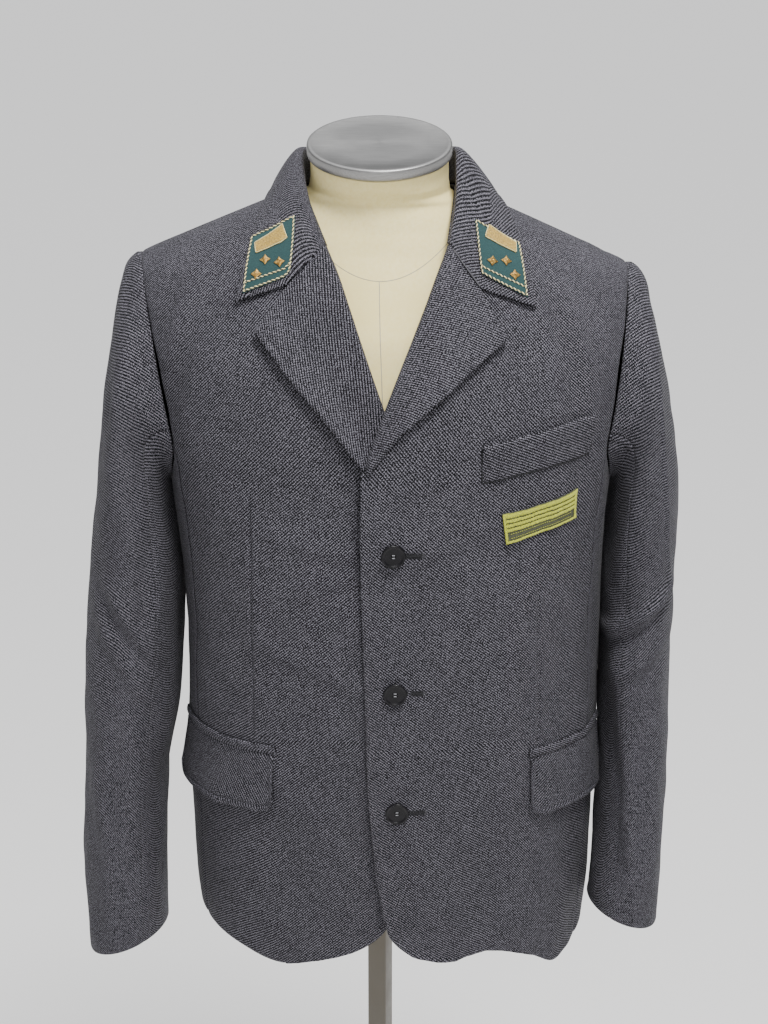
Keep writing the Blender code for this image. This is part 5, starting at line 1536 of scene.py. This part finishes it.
for side, name in SIDES:
    cloth("felt_patch_" + name, pressed(side, COLLAR_PATCH, 36, 44, PATCH_TOP), (0, -0.5, 1),
          ["collar_patch_" + name], felt, "patch_teal", PATCH_CLOTH)
    run = np.linspace(0.02, 0.98, 40)
    none = 0 * run
    border = (np.concatenate([run, none + 1 - CORD_IN, run[::-1], none + CORD_IN]),
              np.concatenate([none + CORD_LOW, run, none + 1 - CORD_LOW, run[::-1]]))
    line = (np.linspace(0.03, 0.97, 60), np.full(60, CORD_LINE))
    for part, route in (("border", border), ("line", line)):
        path, out = on_patch(side, COLLAR_PATCH, *route, PATCH_TOP + CORD_UP)
        for shade, finish, phase, reach in (("pale", pale_gold_thread, 0.0, CORD_REACH),
                                            ("black", black_thread, math.pi, BLACK_REACH)):
            wound = strand(path, out, CORD_TURN, reach, CORD_STRAND, phase)
            piece(f"cord_{part}_{shade}_{name}", *capped(wound), finish, "gold_thread")

    cloth("satin_bar_" + name, pressed(side, PATCH_BAR, 30, 14, BAR_TOP - BAR_LOWER), (0, -0.5, 1),
          ["patch_bar_" + name], gold_thread, "gold_thread",
          BAR_CLOTH - BAR_LOWER)
    uneven = np.random.default_rng(7 + side)
    threads_top = BAR_TOP - 0.0001
    for row, (low, high) in enumerate(BAR_ROWS):
        at = np.linspace(0.015, 0.985, SATIN_COUNT)
        at = at + uneven.uniform(-SATIN_UNEVEN, SATIN_UNEVEN, SATIN_COUNT)
        jog = uneven.uniform(-SATIN_JOG, SATIN_JOG, (2, SATIN_COUNT))
        starts = on_patch(side, PATCH_BAR, at, low + jog[0] * (row > 0), threads_top)[0]
        ends = on_patch(side, PATCH_BAR, at, high + jog[1] * (row < 2), threads_top)[0]
        out = on_patch(side, PATCH_BAR, at, (low + high) / 2 + 0 * at, 0)[1]
        strands(f"satin_threads_{row + 1}_{name}", starts, ends, out, SATIN_THICK, gold_thread,
                "gold_thread")
    rim = np.linspace(0.02, 0.98, 24)
    for part, route in (("low", (rim, rim * 0)), ("high", (rim, rim * 0 + 1)),
                        ("inner", (rim * 0, rim)), ("outer", (rim * 0 + 1, rim))):
        path, out = on_patch(side, PATCH_BAR, *route, threads_top)
        wound = strand(path, out, RIM_TURN, RIM_REACH, RIM_STRAND, 0.0)
        piece(f"bar_rim_{part}_{name}", *capped(wound), pale_gold_thread, "gold_thread")

    turn = np.arange(8) * math.pi / 4
    reach = np.where(np.arange(8) % 2, PIP_WAIST, PIP_TIP)
    star = np.stack([reach * np.cos(turn), reach * np.sin(turn)], -1)
    rings = np.stack([np.column_stack([star * size, np.full(8, high)])
                      for size, high in PIP_LEVELS])
    for k, spot in enumerate(PIPS[side]):
        spot = tuple(np.array([value]) for value in spot)
        centre = collar_half(side, *spot, PATCH_TOP + PIP_UP)[0]
        out = collar_facing(side, *spot)[0]
        along = unit(collar_half(side, spot[0] + 0.01, spot[1], PATCH_TOP + PIP_UP)[0] - centre)
        along = unit(along - along @ out * out)
        axes = np.stack([np.cross(along, out), along, out])
        piece(f"pip_{name}_{k + 1}_pressed", *capped(rings @ axes + centre), brass, "pip_brass",
              [f"pip_{name}_{k + 1}"], flat=True)


# The breast pocket's welt: a band of twill sewn on the left front along its lower edge and both
# ends. It leans out a little at the top, where the pocket's mouth lies.
WELT = ((0.0856, 1.1941), (0.1830, 1.2105), (0.0851, 1.2269), (0.1836, 1.2460))
PATCH_LIFT = CLOTH + 0.0009
WELT_LEAN, WELT_ROUND, WELT_DRAPE, WELT_FOOT = 0.0030, (0.0012, 0.0020), 0.00022, (0.0006, 0.005)
SHADE_LINE_LIFT, SHADE_LINE_RADIUS = CLOTH * 0.55, 0.00065
WELT_STITCHES, WELT_STITCHES_IN = (0.06, 0.97), 0.016
# Near-black thread: real stitches on the welt and the buttonholes, and also painted shade in the
# welt's seams and the buttonhole slits.
dark_thread_and_shade = threaded("dark_thread_and_shade", (0.002, 0.002, 0.003), (0.010, 0.010, 0.012),
                       roughness=0.9, sheen=0.0)

across, up = np.meshgrid(dense(0, 1, 70, 0.012, 9), dense(0, 1, 26, 0.03, 9))
spot = on_quad(WELT, across, up)
flat = on_front(LEFT, *spot, PATCH_LIFT)
high = lengths(flat, 0)
lift = rounded(from_sides(flat), *WELT_ROUND) + WELT_LEAN * ease(high / high[-1:], 0.1, 1.0)
lift = lift + drape(spot[0] * 3, spot[1] * 2, WELT_DRAPE)
lift = lift - WELT_FOOT[0] * np.exp(-((high / WELT_FOOT[1]) ** 2))
welt = flat + front_facing(LEFT, *spot) * lift[..., None]
cloth("welt_band", welt, (0, -1, 0), ["chest_welt"], turn=-0.18)
# Near-black tubes along the welt's inner end and just below its lower edge are painted shade for
# the grooves of its seams.
up_end, run = np.linspace(0, 0.95, 40), np.linspace(0.01, 0.985, 80)
for part, route in (("end", (0 * up_end - 0.004, up_end)), ("lower", (run, 0 * run - 0.012))):
    spot = on_quad(WELT, *route)
    out = front_facing(LEFT, *spot)
    shade_line = tube(on_front(LEFT, *spot, SHADE_LINE_LIFT), out, SHADE_LINE_RADIUS, 0.6)
    piece("welt_shade_line_" + part, *capped(shade_line), dark_thread_and_shade, "uniform_twill")


def welt_end(at, share):
    """X and height of a row of stitches up an end of the welt."""
    return on_quad(WELT, at + 0 * share, np.interp(share, (0, 1), WELT_STITCHES))


for part, at in (("inner", WELT_STITCHES_IN), ("outer", 1 - WELT_STITCHES_IN)):
    sew("welt_stitches_" + part, lambda t: on_front(LEFT, *welt_end(at, t), PATCH_LIFT - 0.0001),
        lambda t: front_facing(LEFT, *welt_end(at, t)), dark_thread_and_shade)


# The breast badge: a small machine-embroidered oblong of stripes on a dark twill ground,
# satin-stitched in yellow-green thread and sewn down round its edge.
BADGE = ((0.1070, 1.1375), (0.1700, 1.1525), (0.1030, 1.1650), (0.1710, 1.1795))
BADGE_DIP = 0.0022
STRIPES = (
    # name, along from and to, up from and to, whether the threads lie along the badge
    ("foot", 0.00, 1.00, 0.00, 0.085, False),
    ("stripe_1", 0.02, 0.98, 0.375, 0.495, False),
    ("stripe_2", 0.03, 0.97, 0.53, 0.645, False),
    ("stripe_3", 0.03, 0.97, 0.68, 0.795, False),
    ("head", 0.00, 1.00, 0.83, 1.00, False),
    ("near_end", 0.00, 0.035, 0.02, 0.98, True),
    ("far_end", 0.965, 1.00, 0.02, 0.98, True),
)
BADGE_HIGH, BADGE_LONG, BADGE_PITCH = 0.028, 0.066, 0.00044
BADGE_SHAKE, BADGE_THREAD = 0.012, 0.00030
RULES, RULE_ENDS = (0.155, 0.30), (0.07, 0.93)
RULE_PITCH, RULE_LONG, RULE_THREAD = 0.0021, 0.0014, 0.00024
lime_thread = threaded("lime_thread", (0.24, 0.26, 0.005), (0.50, 0.53, 0.022), roughness=0.55)
ground = grained("badge_ground", (0.030, 0.034, 0.020), roughness=0.9, low=(0.016, 0.018, 0.012),
                 high=(0.085, 0.090, 0.045), scale=1300.0, fine=1300.0, depth=0.00015)


def on_badge(along, up):
    """X and height on the badge: the upper edge sags between its ends."""
    x, z = on_quad(BADGE, along, up)
    return x, z - BADGE_DIP * up * 4 * along * (1 - along)


across, up = np.meshgrid(np.linspace(0, 1, 60), np.linspace(0, 1, 26))
spot = on_badge(across, up)
flat = on_front(LEFT, *spot, PATCH_LIFT - 0.0004)
badge = flat + front_facing(LEFT, *spot) * rounded(from_sides(flat), 0.0004)[..., None]
cloth("badge_ground", badge, (0, -1, 0), ["breast_badge"], ground,
      "badge_yellow", CLOTH * 0.7)
uneven = np.random.default_rng(3)
for part, a0, a1, u0, u1, lying in STRIPES:
    long, high = a1 - a0, u1 - u0
    count = int((high * BADGE_HIGH if lying else long * BADGE_LONG) / BADGE_PITCH)
    at = (np.arange(count) + 0.5) / count
    shake = uneven.uniform(-BADGE_SHAKE, BADGE_SHAKE, (2, count))
    if lying:
        ends = (a0 + shake[0] / 2, u0 + high * at), (a1 + shake[1] / 2, u0 + high * at + 0.02)
    else:
        ends = (a0 + long * at, u0 + shake[0]), (a0 + long * at + 0.006, u1 + shake[1])
    ends = [np.stack([np.clip(a, 0, 1), np.clip(u, -0.01, 1.01)]) for a, u in ends]
    places = [on_front(LEFT, *on_badge(*end), PATCH_LIFT + 0.0001) for end in ends]
    out = front_facing(LEFT, *on_badge(*((ends[0] + ends[1]) / 2)))
    strands("badge_" + part, *places, out, BADGE_THREAD, lime_thread, "badge_yellow")


def rule_line(level, share):
    """X and height along a row of short stitches on the badge."""
    return on_badge(np.interp(share, (0, 1), RULE_ENDS), level + 0 * share)


for k, level in enumerate(RULES):
    sew(f"badge_rule_{k + 1}", lambda t: on_front(LEFT, *rule_line(level, t), PATCH_LIFT),
        lambda t: front_facing(LEFT, *rule_line(level, t)), lime_thread, "badge_yellow",
        RULE_PITCH, RULE_LONG, RULE_THREAD)


# The hip pockets: a jet of twill along the mouth and, hanging from it, a lined flap with rounded
# lower corners, which stands a little off the front.
FLAP = {
    # degrees of the front and the back end, height of the top, depth at both ends
    RIGHT: (31.5, 74.0, 0.9345, 0.0590, 0.0630),
    LEFT: (37.0, 74.0, 0.9285, 0.0610, 0.0630),
}
FLAP_FOLD = {
    # how far along, half width and depth of a soft fold in the flap
    RIGHT: (0.42, 0.13, 0.0035),
    LEFT: (0.60, 0.16, 0.0010),
}
FLAP_STAND_OFF = {RIGHT: 0.0075, LEFT: 0.0060}
FLAP_CORNER, FLAP_CORNER_DEGREES, FLAP_STITCHED, FLAP_TOP = 0.012, 4, 1.4, (0.0009, 0.003)
JET_WIDTH, JET_LONGER, JET_UP, JET_ROUND = 0.0075, 0.5, 0.0010, (0.0009, 0.0022)
POCKET_TURN = -0.12


def beside_pocket(side, degrees, z, lift):
    """Point of the body by degrees from the centre front, a height and a lift."""
    angle = np.radians(degrees)
    hem = hem_height(side, angle)
    return skin(side, angle, (z - hem) / (ARMPIT - hem), lift)


for side, name in SIDES:
    first, last, top, depth_first, depth_last = FLAP[side]
    out = (math.sin(math.radians(60)) * side, -0.5, 0)
    across, up = np.meshgrid(dense(0, 1, 60, 0.010, 7), np.linspace(0, 1, 15))
    degrees = first - JET_LONGER + across * (last - first + 2 * JET_LONGER)
    flat = beside_pocket(side, degrees, top + SEAM + up * JET_WIDTH, LAY + CLOTH)
    lift = rounded(from_sides(flat), *JET_ROUND) + JET_UP
    jet = flat + grid_normals(flat, out) * lift[..., None]
    cloth("pocket_jet_sewn_" + name, jet, out, ["pocket_jet_" + name],
          turn=POCKET_TURN * side)

    down = np.concatenate([np.linspace(0, 0.86, 30), np.linspace(0.875, 1, 14)])
    across, down = np.meshgrid(dense(0, 1, 76, 0.016, 16), down)
    from_end = np.minimum(across, 1 - across) * (last - first)
    curve = 1 - np.clip(from_end / FLAP_CORNER_DEGREES, 0, 1)
    depth = depth_first + (depth_last - depth_first) * across
    depth = depth - FLAP_CORNER * (1 - np.sqrt(1 - curve**2))
    fold_at, fold_half, fold_depth = FLAP_FOLD[side]
    off = FLAP_STAND_OFF[side] * (0.5 + 0.5 * across)
    off = off + fold_depth * np.exp(-(((across - fold_at) / fold_half) ** 2))
    degrees = first + across * (last - first)
    flat = beside_pocket(side, degrees, top - depth * down, LAY + CLOTH + off * down**1.5)
    *ends, low, foot = to_sides(flat)
    lift = edge_dip(np.minimum(np.min(ends, axis=0), foot), FLAP_STITCHED) + rounded(low, *FLAP_TOP)
    flap = flat + grid_normals(flat, out) * lift[..., None]
    cloth("pocket_flap_hung_" + name, flap, out, ["pocket_flap_" + name],
          turn=POCKET_TURN * side)


# The buttons: three black polyester resin buttons, turned with a raised rim and four holes, sewn
# on with two rows of grey thread, beside buttonholes worked in dark thread on the left front. A
# near-black tube along each buttonhole's slit is painted shade for the opening of the cut.
BUTTON_HEIGHTS, BUTTON_X = (1.1322, 1.0024, 0.8830), (0.0079, 0.0098, 0.0119)
BUTTON = (
    # radius, height above the cloth
    (0.0020, 0.0000),
    (0.0088, 0.0000),
    (0.0098, 0.0004),
    (0.0104, 0.0010),
    (0.01075, 0.0021),
    (0.01060, 0.0029),
    (0.01015, 0.00335),
    (0.0094, 0.0034),
    (0.0088, 0.0031),
    (0.0083, 0.0026),
    (0.0078, 0.0024),
)
FACE_RADII, FACE_HEIGHT, FACE_HOLLOW = (0.0074, 0.0001), 0.0022, 0.0002
BUTTON_SEGMENTS, FACE_RINGS = 112, 44
HOLE_AT, HOLE_EDGE, HOLE_DEPTH = 0.00185, (0.000624, 0.000975), 0.0017
SEWN_HALF, SEWN_ROWS, SEWN_APART = 0.0014, 0.0013, 0.00018
SEWN_HEIGHT, SEWN_THICK = 0.00235, 0.00026
SLIT_ENDS, SLIT_RADIUS = (-0.002, 0.0250), 0.0008
HOLE_STITCHES, HOLE_STITCH = (0.0075, 0.0252, 0.00062), (0.0006, 0.0028)
HOLE_THREAD, HOLE_UP = 0.00026, 0.00012

resin = grained("black_resin", (0.003, 0.003, 0.004), roughness=0.30,
                low=(0.0015, 0.0015, 0.002), high=(0.006, 0.005, 0.007), scale=190.0, fine=1400.0,
                depth=0.00001, rough=(700.0, 0.18, 0.40), Coat_Weight=0.03, Coat_Roughness=0.1,
                Specular_IOR_Level=0.22)
button_thread = threaded("button_thread", (0.16, 0.16, 0.17), (0.34, 0.34, 0.36))
radii = np.linspace(*FACE_RADII, FACE_RINGS)
face = np.stack([radii, FACE_HEIGHT + FACE_HOLLOW * (radii / BUTTON[-1][0]) ** 2], -1)
disc = turned(np.concatenate([BUTTON, face]), BUTTON_SEGMENTS)
for turn in np.radians((45, 135, 225, 315)):
    hole = (HOLE_AT * math.cos(turn), HOLE_AT * math.sin(turn))
    away = np.linalg.norm(disc[len(BUTTON):, :, :2] - hole, axis=-1)
    disc[len(BUTTON):, :, 2] -= HOLE_DEPTH * (1 - ease(away, *HOLE_EDGE))
sewn_at = np.array([row * SEWN_ROWS + way * SEWN_APART for row in (1, -1) for way in (-1, 1)])
sewn = np.stack([0 * sewn_at + SEWN_HALF, sewn_at, 0 * sewn_at + SEWN_HEIGHT], -1)
for k, (x, z) in enumerate(zip(BUTTON_X, BUTTON_HEIGHTS)):
    x, z = np.array([x]), np.array([z])
    centre = on_front(LEFT, x, z, SEAM)[0]
    over, above = (
        unit(on_front(LEFT, x + a, z + b, SEAM) - on_front(LEFT, x - a, z - b, SEAM))[0]
        for a, b in ((0.005, 0), (0, 0.005))
    )
    out = np.cross(over, above)
    axes = np.stack([over, np.cross(out, over), out])
    piece(f"button_{k + 1}_turned", *capped(disc @ axes + centre), resin, "button_black",
          [f"button_{k + 1}"])
    starts, ends = ((sewn * (way, 1, 1)) @ axes + centre for way in (-1, 1))
    strands(f"button_{k + 1}_thread", starts, ends, np.broadcast_to(axes[2], starts.shape),
            SEWN_THICK, button_thread, "button_black")

    # The slit is a near-black tube in the cut: painted shade for the opening of the buttonhole.
    slit_x = x + np.linspace(*SLIT_ENDS, 40)
    slit_shade = on_front(LEFT, slit_x, z + 0 * slit_x, 0.00005)
    out = front_facing(LEFT, slit_x, z + 0 * slit_x)
    piece(f"buttonhole_{k + 1}_slit", *capped(tube(slit_shade, out, SLIT_RADIUS, 0.5)), dark_thread_and_shade,
          "uniform_twill")
    run, turn = np.arange(*HOLE_STITCHES), np.linspace(-math.pi / 2, math.pi / 2, 9)
    eye = SLIT_ENDS[1] + 0 * turn
    for part, at, across, up, finish in (
        ("upper", run, 0 * run, 0 * run + 1, dark_thread_and_shade),
        ("lower", run, 0 * run, 0 * run - 1, dark_thread_and_shade),
        ("end", eye, np.cos(turn), np.sin(turn), charcoal_thread_and_shade),
    ):
        starts, ends = (on_front(LEFT, x + at + reach * across, z + reach * up, HOLE_UP)
                        for reach in HOLE_STITCH)
        strands(f"buttonhole_{k + 1}_{part}", starts, ends, front_facing(LEFT, x + at, z + 0 * at),
                HOLE_THREAD, finish, high=1.2)
